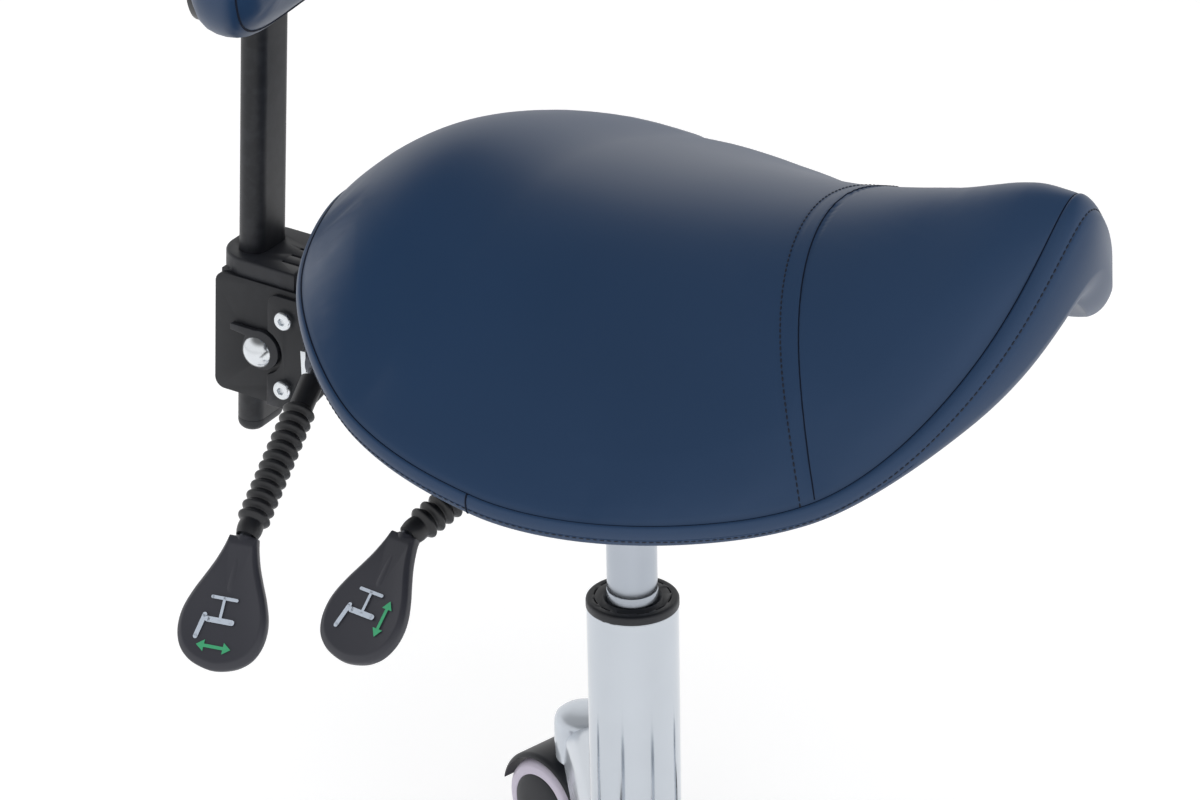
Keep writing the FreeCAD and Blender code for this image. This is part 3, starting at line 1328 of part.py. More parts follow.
def make_carriage_bolt():
    """Domed bolt across the bracket, ahead of the upright; its thread ends in the knob."""
    axis = Vector(1, 0, 0)
    head_r = BRACKET_HALF_WIDTH + BOLT_WASHER
    head_height = 4.6
    head_radius = BOLT_HEAD_DIAMETER / 2.0
    sphere_radius = (head_radius ** 2 + head_height ** 2) / (2.0 * head_height)
    ball = Part.makeSphere(sphere_radius, at(BOLT_F, head_r + head_height - sphere_radius, BOLT_U))
    dome = ball.common(cylinder(BIG, BIG, at(BOLT_F, head_r + BIG, BOLT_U), axis))
    square = block(BOLT_F - 4.0, BOLT_F + 4.0, BRACKET_HALF_WIDTH, head_r + 0.5, BOLT_U - 4.0, BOLT_U + 4.0)
    shank = cylinder(BOLT_DIAMETER, head_r + BRACKET_HALF_WIDTH + 22.0, at(BOLT_F, head_r, BOLT_U), axis)
    return leant(dome.fuse(square).fuse(shank).removeSplitter())


def make_bolt_washer():
    """Black retaining washer under the domed head, with a tail that points back and up."""
    axis = Vector(1, 0, 0)
    outer = BRACKET_HALF_WIDTH + BOLT_WASHER
    disc = cylinder(BOLT_HEAD_DIAMETER + 5.0, BOLT_WASHER, at(BOLT_F + 2.5, outer, BOLT_U + 2.0), axis)
    tail = prism(
        [
            (BOLT_F + 3.0, BOLT_U + 13.0),
            (BOLT_F - 17.0, BOLT_U + 13.0),
            (BOLT_F - 17.0, BOLT_U + 9.5),
            (BOLT_F + 3.0, BOLT_U + 7.0),
        ],
        BRACKET_HALF_WIDTH,
        outer,
    )
    body = disc.fuse(tail)
    hole = block(
        BOLT_F - 4.0, BOLT_F + 4.0, BRACKET_HALF_WIDTH - 1.0, outer + 1.0, BOLT_U - 4.0, BOLT_U + 4.0,
    )
    return leant(body.cut(hole).removeSplitter())


def make_knob():
    """Lobed hand knob on the bolt's thread, outside the far cheek."""
    axis = Vector(1, 0, 0)
    start = -BRACKET_HALF_WIDTH - FACE_GAP
    hub = cylinder(20.0, 8.0, at(BOLT_F, start, BOLT_U), axis)
    body = cylinder(KNOB_DIAMETER - 8.0, 16.0, at(BOLT_F, start - 7.0, BOLT_U), axis)
    for index in range(6):
        angle = math.radians(60.0 * index)
        reach = KNOB_DIAMETER / 2.0 - 6.5
        place = at(BOLT_F + reach * math.cos(angle), start - 7.0, BOLT_U + reach * math.sin(angle))
        body = body.fuse(cylinder(13.0, 16.0, place, axis))
    body = body.removeSplitter()
    bore = cylinder(BOLT_DIAMETER + 2 * SHAFT_CLEARANCE, BIG, at(BOLT_F, start + 1.0, BOLT_U), axis)
    bore = bore.common(cylinder(BIG, 23.0, at(BOLT_F, start + 1.0, BOLT_U), axis))
    return leant(body.fuse(hub).cut(bore).removeSplitter())


def screw_side(sign):
    """Button-head screws and their nuts on one side of the bracket."""
    screws = []
    nuts = []
    outer = BRACKET_HALF_WIDTH + BRACKET_WALL
    axis = Vector(-sign, 0, 0)
    for u in SIDE_SCREW_U:
        face = at(SIDE_SCREW_F, sign * outer, u)
        head = cylinder(11.0, 3.2, face, axis)
        far = [
            e
            for e in head.Edges if abs(e.BoundBox.XMin + sign * (outer + 3.2)) < 0.01 and abs(
                e.BoundBox.XMax + sign * (outer + 3.2)
            ) < 0.01
        ]
        head = head.makeFillet(1.9, far)
        socket = hexagon(4.0, 2.2, SIDE_SCREW_F, sign * outer + (3.3 if sign > 0 else -1.1), u)
        shank = cylinder(SIDE_SCREW_DIAMETER, 2 * BRACKET_WALL + 7.0, face, axis * -1.0)
        screws.append(leant(head.cut(socket).fuse(shank).removeSplitter()))
        inner = BRACKET_HALF_WIDTH - BRACKET_WALL
        nut_start = inner if sign > 0 else -inner + 5.0
        nuts.append(leant(hexagon(10.0, 5.0, SIDE_SCREW_F, nut_start, u, SIDE_SCREW_DIAMETER)))
    return screws, nuts


def pad_point(angle, radius, u):
    """Point of the curved pad: angle across it, distance from its bend centre."""
    centre_f = PAD_MIDDLE_F + PAD_BEND_RADIUS
    return at(centre_f - radius * math.cos(angle), radius * math.sin(angle), u)


def pad_section(share, inset):
    """Closed upright section of the pad at a share of its half width."""
    angle = share * PAD_HALF_WIDTH / PAD_BEND_RADIUS
    fullness = (1.0 - abs(share) ** 3.2) ** 0.5
    half = (PAD_HEIGHT / 2.0) * (0.18 + 0.82 * fullness) - inset
    thick = PAD_THICKNESS * (0.5 + 0.5 * fullness)
    back = PAD_BEND_RADIUS + PAD_THICKNESS / 2.0
    if inset:
        back = back + 3.0
    middle = PAD_BEND_RADIUS + PAD_THICKNESS / 2.0 - thick * 0.5
    front = PAD_BEND_RADIUS + PAD_THICKNESS / 2.0 - thick + inset
    soft = min(10.0, half * 0.4)

    def place(radius, u):
        return pad_point(angle, radius, PAD_CENTRE_U + u)

    points = [
        place(back, half - soft * 0.6), place(middle, half), place(front + 5.0, half - soft),
        place(front, 0.0), place(front + 5.0, soft - half), place(middle, -half), place(
            back, soft * 0.6 - half,
        ),
    ]
    edges = arc_chain(points)
    edges.append(Part.LineSegment(points[-1], points[0]).toShape())
    return Part.Wire(edges)


PAD_SHARES = (-0.995, -0.96, -0.86, -0.66, -0.35, 0.0, 0.35, 0.66, 0.86, 0.96, 0.995)


def make_pad():
    """Curved lumbar pad: foam and cover on a moulded shell with four bosses."""
    body = Part.makeLoft([pad_section(share, 0.0) for share in PAD_SHARES], True, False)
    narrow = (PAD_HALF_WIDTH - COVER_THICKNESS) / PAD_HALF_WIDTH
    inside = Part.makeLoft(
        [pad_section(share * narrow, COVER_THICKNESS) for share in PAD_SHARES], True, False,
    )
    print("pad", body.isValid(), "inside", inside.isValid())
    cover = body.cut(inside)
    foam = body.common(inside)
    back = PAD_BEND_RADIUS + PAD_THICKNESS / 2.0 + LOOSE_CLEARANCE
    centre_f = PAD_MIDDLE_F + PAD_BEND_RADIUS
    low = PAD_CENTRE_U - PAD_SHELL_HEIGHT / 2.0
    ring = tube(2 * (back + PAD_SHELL_THICKNESS), 2 * back, PAD_SHELL_HEIGHT, at(centre_f, 0, low))
    reach = PAD_HALF_WIDTH - 22.0
    window = block(PAD_MIDDLE_F - 80.0, PAD_MIDDLE_F + 120.0, -reach, reach, low, low + PAD_SHELL_HEIGHT)
    window = rounded(window, 42.0, lambda e: along(e, Vector(0, 1, 0)))
    shell = ring.common(window)
    plate_f = UPRIGHT_F + UPRIGHT_DEPTH / 2.0 + PAD_BRACKET_THICKNESS
    axis = Vector(0, 1, 0)
    plate = block(
        plate_f - PAD_BRACKET_THICKNESS, plate_f, -46.0, 46.0, PAD_CENTRE_U - 36.0, PAD_CENTRE_U + 36.0,
    )
    plate = rounded(plate, 10.0, lambda e: along(e, Vector(0, 1, 0)))
    screws = []
    for r in (-33.0, 33.0):
        for u in (-24.0, 24.0):
            shell_f = centre_f - math.sqrt(back ** 2 - r ** 2)
            length = shell_f - plate_f
            shell = shell.fuse(cylinder(15.0, length - 2.0, at(shell_f - 2.0, r, PAD_CENTRE_U + u), axis))
            start = at(plate_f + 8.0, r, PAD_CENTRE_U + u)
            hole = cylinder(6.0, BIG, start, axis)
            shell = shell.cut(hole)
            plate = plate.cut(hole)
            rear_f = plate_f - PAD_BRACKET_THICKNESS
            screw = cylinder(6.0, start.y * -1.0 - rear_f, start, axis)
            head = cylinder(12.0, 3.4, at(rear_f, r, PAD_CENTRE_U + u), axis)
            head = head.makeFillet(1.8, [e for e in head.Edges if e.BoundBox.YMin > -rear_f + 3.3])
            screws.append(leant(screw.fuse(head)))
    save("pad_cover", leant(cover))
    save("pad_foam", leant(foam))
    save("pad_shell", leant(shell.removeSplitter()))
    save("pad_bracket", leant(plate))
    save("pad_screws", screws)


def make_back():
    save("clamp_bracket", make_bracket())
    save("guide_collar", make_collar())
    save("upright_tube", make_upright())
    save("upright_plugs", make_upright_plugs())
    save("carriage_bolt", make_carriage_bolt())
    save("bolt_washer", make_bolt_washer())
    save("hand_knob", make_knob())
    right_screws, right_nuts = screw_side(1)
    left_screws, left_nuts = screw_side(-1)
    save("side_screws", right_screws + left_screws + right_nuts + left_nuts)
    make_pad()


make_casters()
save("star_base", make_star_base())
make_gas_lift()
make_mechanism()
make_seat()
make_back()
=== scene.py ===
import json
import math

import bmesh
import bpy
import numpy as np
from mathutils import Matrix, Vector
from mathutils.bvhtree import BVHTree
from mathutils.kdtree import KDTree

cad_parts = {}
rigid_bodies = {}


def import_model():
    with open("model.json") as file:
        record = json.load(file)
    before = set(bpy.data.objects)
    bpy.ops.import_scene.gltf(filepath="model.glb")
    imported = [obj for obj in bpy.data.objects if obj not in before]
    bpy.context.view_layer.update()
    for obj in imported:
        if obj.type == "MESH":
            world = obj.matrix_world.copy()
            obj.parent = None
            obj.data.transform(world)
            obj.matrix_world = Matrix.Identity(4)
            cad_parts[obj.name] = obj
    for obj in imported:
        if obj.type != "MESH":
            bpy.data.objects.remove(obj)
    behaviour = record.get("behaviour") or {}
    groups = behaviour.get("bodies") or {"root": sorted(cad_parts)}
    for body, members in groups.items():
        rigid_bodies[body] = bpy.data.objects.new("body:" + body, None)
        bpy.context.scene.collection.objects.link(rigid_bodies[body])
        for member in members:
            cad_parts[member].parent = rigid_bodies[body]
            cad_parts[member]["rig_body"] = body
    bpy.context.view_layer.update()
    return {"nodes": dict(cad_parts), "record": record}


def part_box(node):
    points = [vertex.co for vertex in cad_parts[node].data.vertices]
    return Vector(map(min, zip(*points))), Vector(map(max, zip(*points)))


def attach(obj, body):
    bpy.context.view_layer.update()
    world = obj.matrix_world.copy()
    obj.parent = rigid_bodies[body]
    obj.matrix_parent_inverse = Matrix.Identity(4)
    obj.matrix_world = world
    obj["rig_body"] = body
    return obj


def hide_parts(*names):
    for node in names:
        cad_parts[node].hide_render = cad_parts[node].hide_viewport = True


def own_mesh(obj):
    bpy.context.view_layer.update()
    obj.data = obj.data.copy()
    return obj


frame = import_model()
scene = bpy.context.scene
SLOTS = {entry["node"]: entry["material_slot"] for entry in frame["record"]["subparts"]}

# Metres, in the same frame as the CAD: +Z up, the seat's front towards -Y, the
# sitter's right towards -X. A place on the seat is f (forward), r (to the right)
# and u (above the column tube's top), in millimetres.
COLUMN_TOP = 316.0


def at(f, r, u):
    return Vector((-r, -f, COLUMN_TOP + u)) / 1000.0


# Camera

CAMERA_TURN = math.radians(30.05)
CAMERA_PITCH = math.radians(25.872)
CAMERA_ROLL = math.radians(1.15)
CAMERA_FOCUS_PX = 4620.0
CAMERA_DISTANCE = 2483.87
COLUMN_PIXEL = (632.6, 603.7)
FRAME_PX = (1200.0, 800.0)


def make_camera():
    """Camera on the sitter's right, above and ahead, that puts the column where it stands in the frame."""
    sin_a, cos_a = math.sin(CAMERA_TURN), math.cos(CAMERA_TURN)
    sin_p, cos_p = math.sin(CAMERA_PITCH), math.cos(CAMERA_PITCH)
    back = Vector((-cos_a * cos_p, -sin_a * cos_p, sin_p))
    right = Vector((sin_a, -cos_a, 0.0))
    up = Vector((cos_a * sin_p, sin_a * sin_p, cos_p))
    x = COLUMN_PIXEL[0] - FRAME_PX[0] / 2.0
    y = FRAME_PX[1] / 2.0 - COLUMN_PIXEL[1]
    cos_r, sin_r = math.cos(CAMERA_ROLL), math.sin(CAMERA_ROLL)
    scale = CAMERA_DISTANCE / CAMERA_FOCUS_PX
    aside = (x * cos_r + y * sin_r) * scale
    above = (y * cos_r - x * sin_r) * scale
    place = Vector((0, 0, COLUMN_TOP)) + back * CAMERA_DISTANCE - right * aside - up * above
    x_axis = right * cos_r - up * sin_r
    y_axis = right * sin_r + up * cos_r
    data = bpy.data.cameras.new("view_camera")
    data.sensor_width = 36.0
    data.lens = CAMERA_FOCUS_PX * 36.0 / FRAME_PX[0]
    data.clip_start = 0.1
    data.clip_end = 50.0
    camera = bpy.data.objects.new("view_camera", data)
    turn = Matrix((x_axis, y_axis, back)).transposed().to_4x4()
    camera.matrix_world = Matrix.Translation(place / 1000.0) @ turn
    scene.collection.objects.link(camera)
    scene.camera = camera


# Small makers


def new_object(name, data):
    piece = bpy.data.objects.new(name, data)
    scene.collection.objects.link(piece)
    return piece


def made_mesh(name, points, faces):
    mesh = bpy.data.meshes.new(name)
    mesh.from_pydata([tuple(p) for p in points], [], faces)
    return mesh


def plain_mesh(piece):
    """Mesh of a piece's present shape, with its modifiers worked in."""
    return bpy.data.meshes.new_from_object(piece.evaluated_get(bpy.context.evaluated_depsgraph_get()))


def finish_piece(piece, finish, body, smooth_angle=None):
    """Give a piece its material, its shading and the body that it rides on."""
    mesh = piece.data
    if not mesh.materials:
        mesh.materials.append(MAT[finish])
    mesh.shade_smooth()
    if smooth_angle is not None:
        mesh.set_sharp_from_angle(angle=math.radians(smooth_angle))
    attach(piece, body)
    return piece


def grid_faces(rows, columns):
    """Quads of a grid whose rows run round."""
    faces = []
    for i in range(rows - 1):
        low, high = i * columns, (i + 1) * columns
        for k in range(columns):
            n = (k + 1) % columns
            faces.append((low + k, low + n, high + n, high + k))
    return faces


def fix_normals(mesh, weld=1e-6, flat=None):
    """Join points that coincide, clear edges between level faces, and turn every face outward."""
    bm = bmesh.new()
    bm.from_mesh(mesh)
    if weld:
        bmesh.ops.remove_doubles(bm, verts=bm.verts, dist=weld)
    if flat:
        bmesh.ops.dissolve_limit(bm, angle_limit=math.radians(flat), verts=bm.verts, edges=bm.edges)
    bmesh.ops.recalc_face_normals(bm, faces=bm.faces)
    bm.to_mesh(mesh)
    bm.free()


def turned_mesh(name, profile, segments, origin=Vector((0, 0, 0))):
    """Solid of revolution of radius and height pairs, in metres, about an upright axis."""
    points = []
    for radius, height in profile:
        for k in range(segments):
            angle = 2 * math.pi * k / segments
            points.append(origin + Vector((radius * math.cos(angle), radius * math.sin(angle), height)))
    mesh = made_mesh(name, points, grid_faces(len(profile), segments))
    fix_normals(mesh)
    return mesh


def bevelled(node, finish, width, segments=2, sharp=32.0):
    """Cleaned copy of a CAD node with softened edges, in the node's place."""
    source = frame["nodes"][node]
    mesh = source.data.copy()
    mesh.materials.clear()
    fix_normals(mesh, 2e-6, 0.4)
    piece = new_object(node + "_piece", mesh)
    bevel = piece.modifiers.new("edges", "BEVEL")
    bevel.limit_method = "ANGLE"
    bevel.angle_limit = math.radians(sharp)
    bevel.width = width
    bevel.segments = segments
    bevel.use_clamp_overlap = True
    bevel.miter_outer = "MITER_ARC"
    result = plain_mesh(piece)
    piece.modifiers.clear()
    piece.data = result
    result.materials.clear()
    finish_piece(piece, finish, source["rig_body"], sharp)
    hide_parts(node)
    return piece


# Shader node groups: effects that several finishes share

GRAIN_DEPTH = 0.0002
STREAK_DEPTH = 0.0001
# How far convex edges are lightened: a painted highlight
EDGE_HIGHLIGHT_AMOUNT = 0.4


class Nodes:
    """Short way to add and link nodes in a tree."""

    def __init__(self, tree):
        self.tree = tree
        self.count = 0

    def add(self, kind, **settings):
        node = self.tree.nodes.new(kind)
        node.location = (self.count * 180 - 1200, -60 * (self.count % 5))
        self.count += 1
        for key, value in settings.items():
            setattr(node, key, value)
        return node

    def feed(self, target, value):
        """Give an input a value, or a link where the value is another node's output."""
        if isinstance(value, bpy.types.NodeSocket):
            self.tree.links.new(value, target)
        else:
            target.default_value = value

    def put(self, kind, inputs, **settings):
        """Add a node and feed its inputs."""
        node = self.add(kind, **settings)
        for label, value in inputs.items():
            self.feed(node.inputs[label], value)
        return node

    def math(self, operation, *values, clamp=False):
        node = self.add("ShaderNodeMath", operation=operation, use_clamp=clamp)
        for socket, value in zip(node.inputs, values):
            self.feed(socket, value)
        return node.outputs[0]

    def ramp(self, value, low, high):
        inputs = {"Value": value, "From Min": low, "From Max": high}
        node = self.put("ShaderNodeMapRange", inputs, interpolation_type="SMOOTHSTEP")
        return node.outputs["Result"]


def group_tree(name, inputs, outputs):
    """Shader node group with number sockets only, and its input and output sockets."""
    tree = bpy.data.node_groups.new(name, "ShaderNodeTree")
    for label, value in inputs.items():
        socket = tree.interface.new_socket(name=label, in_out="INPUT", socket_type="NodeSocketFloat")
        socket.default_value = value
    for label in outputs:
        tree.interface.new_socket(name=label, in_out="OUTPUT", socket_type="NodeSocketFloat")
    nodes = Nodes(tree)
    start = nodes.add("NodeGroupInput")
    end = nodes.add("NodeGroupOutput")
    return nodes, start.outputs, end.inputs


def make_grain_group():
    """Fine pebbled grain: a height, and a value that varies from place to place."""
    nodes, start, end = group_tree("surface_grain", {"Scale": 900.0, "Detail": 4.0}, ("Height", "Variation"))
    place = nodes.add("ShaderNodeTexCoord").outputs["Object"]
    grain = {"Vector": place, "Scale": start["Scale"]}
    pebbles = nodes.put("ShaderNodeTexVoronoi", grain, feature="SMOOTH_F1")
    finer = nodes.math("MULTIPLY", start["Scale"], 1.7)
    fine = nodes.put("ShaderNodeTexNoise", {"Vector": place, "Scale": finer, "Detail": start["Detail"]})
    broad = nodes.put("ShaderNodeTexNoise", {"Vector": place, "Scale": 9.0, "Detail": 3.0})
    pebble_share = nodes.math("MULTIPLY", pebbles.outputs["Distance"], 0.6)
    fine_share = nodes.math("MULTIPLY", fine.outputs["Fac"], 0.4)
    nodes.feed(end["Height"], nodes.math("ADD", pebble_share, fine_share))
    nodes.feed(end["Variation"], broad.outputs["Fac"])
    return nodes.tree


def make_edge_highlight_group():
    """Mask of convex edges for a painted highlight, broken up by noise."""
    nodes, start, end = group_tree("painted_edge_highlight", {"Amount": 0.5, "Break Up": 160.0}, ("Mask",))
    edge = nodes.ramp(nodes.add("ShaderNodeNewGeometry").outputs["Pointiness"], 0.52, 0.62)
    place = nodes.add("ShaderNodeTexCoord").outputs["Object"]
    patches = nodes.put("ShaderNodeTexNoise", {"Vector": place, "Scale": start["Break Up"]})
    broken = nodes.ramp(patches.outputs["Fac"], 0.35, 0.7)
    mask = nodes.math("MULTIPLY", nodes.math("MULTIPLY", edge, broken), start["Amount"], clamp=True)
    nodes.feed(end["Mask"], mask)
    return nodes.tree


def make_streak_group():
    """Fine lines along Z, as drawing and polishing leave on a tube."""
    nodes, start, end = group_tree("polish_lines", {"Lines": 700.0, "Stretch": 0.02}, ("Height", "Variation"))
    place = nodes.add("ShaderNodeTexCoord").outputs["Object"]
    split = nodes.put("ShaderNodeSeparateXYZ", {0: place}).outputs
    drawn = nodes.math("MULTIPLY", split["Z"], start["Stretch"])
    joined = nodes.put("ShaderNodeCombineXYZ", {"X": split["X"], "Y": split["Y"], "Z": drawn}).outputs[0]
    lines = nodes.put("ShaderNodeTexNoise", {"Vector": joined, "Scale": start["Lines"], "Detail": 3.0})
    broad = nodes.put("ShaderNodeTexNoise", {"Vector": place, "Scale": 22.0})
    nodes.feed(end["Height"], lines.outputs["Fac"])
    nodes.feed(end["Variation"], broad.outputs["Fac"])
    return nodes.tree


GRAIN = make_grain_group()
EDGE_HIGHLIGHT = make_edge_highlight_group()
STREAKS = make_streak_group()


def linear(red, green, blue):
    """Display colour, 0 to 255, as the shader's linear colour."""
    values = []
    for value in (red, green, blue):
        value = value / 255.0
        values.append(value / 12.92 if value <= 0.04045 else ((value + 0.055) / 1.055) ** 2.4)
    return (*values, 1.0)


def start_material(name, rough, metal=0.0, specular=0.5):
    """New material, its nodes, and the inputs of its shader."""
    material = bpy.data.materials.new(name)
    material.use_nodes = True
    shader = material.node_tree.nodes["Principled BSDF"].inputs
    shader["Roughness"].default_value = rough
    shader["Metallic"].default_value = metal
    shader["Specular IOR Level"].default_value = specular
    return material, Nodes(material.node_tree), shader


def vary_colour(nodes, shader, mask, low, high):
    mix = nodes.put("ShaderNodeMix", {"Factor": mask, "A": low, "B": high}, data_type="RGBA")
    nodes.feed(shader["Base Color"], mix.outputs["Result"])
    return mix.outputs["Result"]


def vary_rough(nodes, shader, mask, low, high):
    spread = nodes.put("ShaderNodeMapRange", {"Value": mask, "To Min": low, "To Max": high})
    nodes.feed(shader["Roughness"], spread.outputs["Result"])


def add_bump(nodes, shader, height, strength, distance):
    bump = nodes.put("ShaderNodeBump", {"Strength": strength, "Distance": distance, "Height": height})
    nodes.feed(shader["Normal"], bump.outputs["Normal"])


def grained_material(name, low, high, rough, scale, bump, specular=0.5, edge_highlight=None):
    """Moulded or coated finish: grain in its relief, slow variation in its colour, a painted highlight on its
    convex edges.
    """
    material, nodes, shader = start_material(name, rough[0], 0.0, specular)
    grain = nodes.add("ShaderNodeGroup", node_tree=GRAIN)
    nodes.feed(grain.inputs["Scale"], scale)
    colour = vary_colour(nodes, shader, grain.outputs["Variation"], linear(*low), linear(*high))
    vary_rough(nodes, shader, grain.outputs["Variation"], *rough)
    add_bump(nodes, shader, grain.outputs["Height"], bump, GRAIN_DEPTH)
    # Convex edges mixed toward a lighter colour: a painted highlight, broken up by noise
    if edge_highlight:
        lit_edges = nodes.add("ShaderNodeGroup", node_tree=EDGE_HIGHLIGHT)
        nodes.feed(lit_edges.inputs["Amount"], EDGE_HIGHLIGHT_AMOUNT)
        vary_colour(nodes, shader, lit_edges.outputs["Mask"], colour, linear(*edge_highlight))
    return material


def metal_material(name, low, high, rough, lines, stretch, bump, metal=1.0):
    """Polished or drawn metal."""
    material, nodes, shader = start_material(name, rough[0], metal)
    streaks = nodes.add("ShaderNodeGroup", node_tree=STREAKS)
    nodes.feed(streaks.inputs["Lines"], lines)
    nodes.feed(streaks.inputs["Stretch"], stretch)
    vary_colour(nodes, shader, streaks.outputs["Variation"], linear(*low), linear(*high))
    vary_rough(nodes, shader, streaks.outputs["Variation"], *rough)
    add_bump(nodes, shader, streaks.outputs["Height"], bump, STREAK_DEPTH)
    return material


def plain_print(name, colour):
    """Matte ink, a little darker in places."""
    material, nodes, shader = start_material(name, 0.5)
    grain = nodes.add("ShaderNodeGroup", node_tree=GRAIN)
    bright = linear(*colour)
    dark = tuple(c * 0.92 for c in bright[:3]) + (1.0,)
    vary_colour(nodes, shader, grain.outputs["Variation"], bright, dark)
    add_bump(nodes, shader, grain.outputs["Height"], 0.1, STREAK_DEPTH)
    return material


# Display colours run from 0 to 255. Each finish has its colour where the slow variation is low and where
# it is high, and the range of its roughness.

# Then the grain's scale, the strength of its relief, the specular level and the colour of the painted
# highlight on convex edges
GRAINED = {
    "navy": ("navy_skin", (29, 55, 86), (34, 60, 93), (0.40, 0.46), 1500.0, 0.10, 0.42),
    "thread": ("navy_thread", (13, 21, 36), (18, 28, 46), (0.6, 0.7), 2500.0, 0.3),
    # Dark seam cord: painted shade in the bottom of the sewn grooves
    "seam": ("seam_shadow", (10, 18, 34), (12, 20, 38), (0.7, 0.8), 2500.0, 0.2, 0.2),
    "black_metal": (
        "black_powder_coat", (19, 21, 26), (25, 27, 32), (0.42, 0.5), 1300.0, 0.12, 0.4, (96, 98, 106),
    ),
    "black_plastic": (
        "black_moulded_plastic", (28, 30, 35), (34, 36, 42), (0.42, 0.52), 1800.0, 0.10, 0.45, (88, 90, 98),
    ),
    "paddle": (
        "black_paddle_plastic", (50, 51, 58), (56, 57, 65), (0.36, 0.44), 1600.0, 0.10, 0.45, (96, 98, 106),
    ),
    "rubber": ("black_rubber", (26, 27, 30), (32, 33, 37), (0.34, 0.44), 900.0, 0.15, 0.5),
    "tyre": ("pale_tread", (205, 198, 214), (222, 214, 230), (0.5, 0.6), 1100.0, 0.12, 0.4),
}

# Then the scale of the polish lines, their stretch, the strength of their relief and how metallic it is
METALS = {
    "chrome": ("bright_chrome", (188, 194, 201), (199, 205, 212), (0.07, 0.12), 260.0, 0.02, 0.03),
    "chrome_cast": ("cast_chrome", (206, 213, 222), (216, 222, 230), (0.16, 0.22), 260.0, 0.02, 0.02, 0.4),
    "satin": ("satin_steel", (164, 171, 180), (182, 188, 197), (0.18, 0.26), 700.0, 0.03, 0.08),
    "dark_steel": ("dark_steel", (74, 77, 84), (92, 95, 102), (0.24, 0.32), 500.0, 0.2, 0.1),
    "zinc": ("bright_zinc", (214, 218, 222), (228, 232, 236), (0.16, 0.26), 300.0, 1.0, 0.15),
}

MAT = {key: grained_material(*values) for key, values in GRAINED.items()}
MAT.update({key: metal_material(*values) for key, values in METALS.items()})
MAT["print_pale"] = plain_print("pale_print", (196, 206, 220))
MAT["print_green"] = plain_print("green_print", (66, 170, 120))

# Where a slot and its finish differ in name, each way
FINISH_OF_SLOT = {"navy_leather": "navy", "foam": "seam", "tyre_grey": "tyre", "satin_steel": "satin"}


def dress_cad_nodes():
    """Every CAD node that stays takes the finish of its slot."""
    for node, piece in frame["nodes"].items():
        slot = SLOTS[node]
        finish = "dark_steel" if node.endswith("_lever_rod") else FINISH_OF_SLOT.get(slot, slot)
        piece.data.materials.clear()
        piece.data.materials.append(MAT[finish])


# Geometry Nodes: stitches and the ribbed sleeves, with their usual sizes in metres

STITCH = {"Pitch": 0.0034, "Stitch Length": 0.0027, "Thread Radius": 0.0005}
SLEEVE = {
    "Length": 0.1, "Ribs": 13.0, "Root Radius": 0.00655, "Crest Radius": 0.00895,
    "Upper Cuff": 0.012, "Lower Cuff": 0.0085,
}


class GeometryTree(Nodes):
    """Geometry Nodes tree with named sizes and a material as inputs, for use as a modifier."""

    def __init__(self, name, sizes):
        tree = bpy.data.node_groups.new(name, "GeometryNodeTree")
        sockets = tree.interface
        sockets.new_socket(name="Geometry", in_out="INPUT", socket_type="NodeSocketGeometry")
        self.identifiers = {}
        for label, size in sizes.items():
            socket = sockets.new_socket(name=label, in_out="INPUT", socket_type="NodeSocketFloat")
            socket.default_value = size
            self.identifiers[label] = socket.identifier
        socket = sockets.new_socket(name="Material", in_out="INPUT", socket_type="NodeSocketMaterial")
        self.identifiers["Material"] = socket.identifier
        sockets.new_socket(name="Geometry", in_out="OUTPUT", socket_type="NodeSocketGeometry")
        super().__init__(tree)
        self.start = self.add("NodeGroupInput").outputs
        self.end = self.add("NodeGroupOutput").inputs

    def close(self, geometry):
        whole = self.put("GeometryNodeRealizeInstances", {"Geometry": geometry}).outputs["Geometry"]
        clad = self.put("GeometryNodeSetMaterial", {"Geometry": whole, "Material": self.start["Material"]})
        self.feed(self.end["Geometry"], clad.outputs["Geometry"])

    def made(self, piece, values):
        """Run the tree on a piece and leave its result there as a plain mesh."""
        modifier = piece.modifiers.new("made", "NODES")
        modifier.node_group = self.tree
        for label, value in values.items():
            modifier[self.identifiers[label]] = value
        result = plain_mesh(piece)
        name = piece.name
        bpy.data.objects.remove(piece)
        return new_object(name, result)


def make_stitch_tree():
    """Thread stitches laid end to end along a curve, with a small gap between them."""
    tree = GeometryTree("stitch_row", STITCH)
    start = tree.start
    route = {"Curve": start["Geometry"], "Length": start["Pitch"]}
    spread = tree.put("GeometryNodeCurveToPoints", route, mode="LENGTH").outputs
    bead = tree.put("GeometryNodeMeshUVSphere", {"Segments": 6, "Rings": 5, "Radius": 1.0})
    half = tree.math("MULTIPLY", start["Stitch Length"], 0.5)
    thread = start["Thread Radius"]
    size = tree.put("ShaderNodeCombineXYZ", {"X": thread, "Y": thread, "Z": half})
    sources = {
        "Points": spread["Points"], "Instance": bead.outputs["Mesh"],
        "Rotation": spread["Rotation"], "Scale": size.outputs[0],
    }
    place = tree.put("GeometryNodeInstanceOnPoints", sources)
    tree.close(place.outputs["Instances"])
    return tree


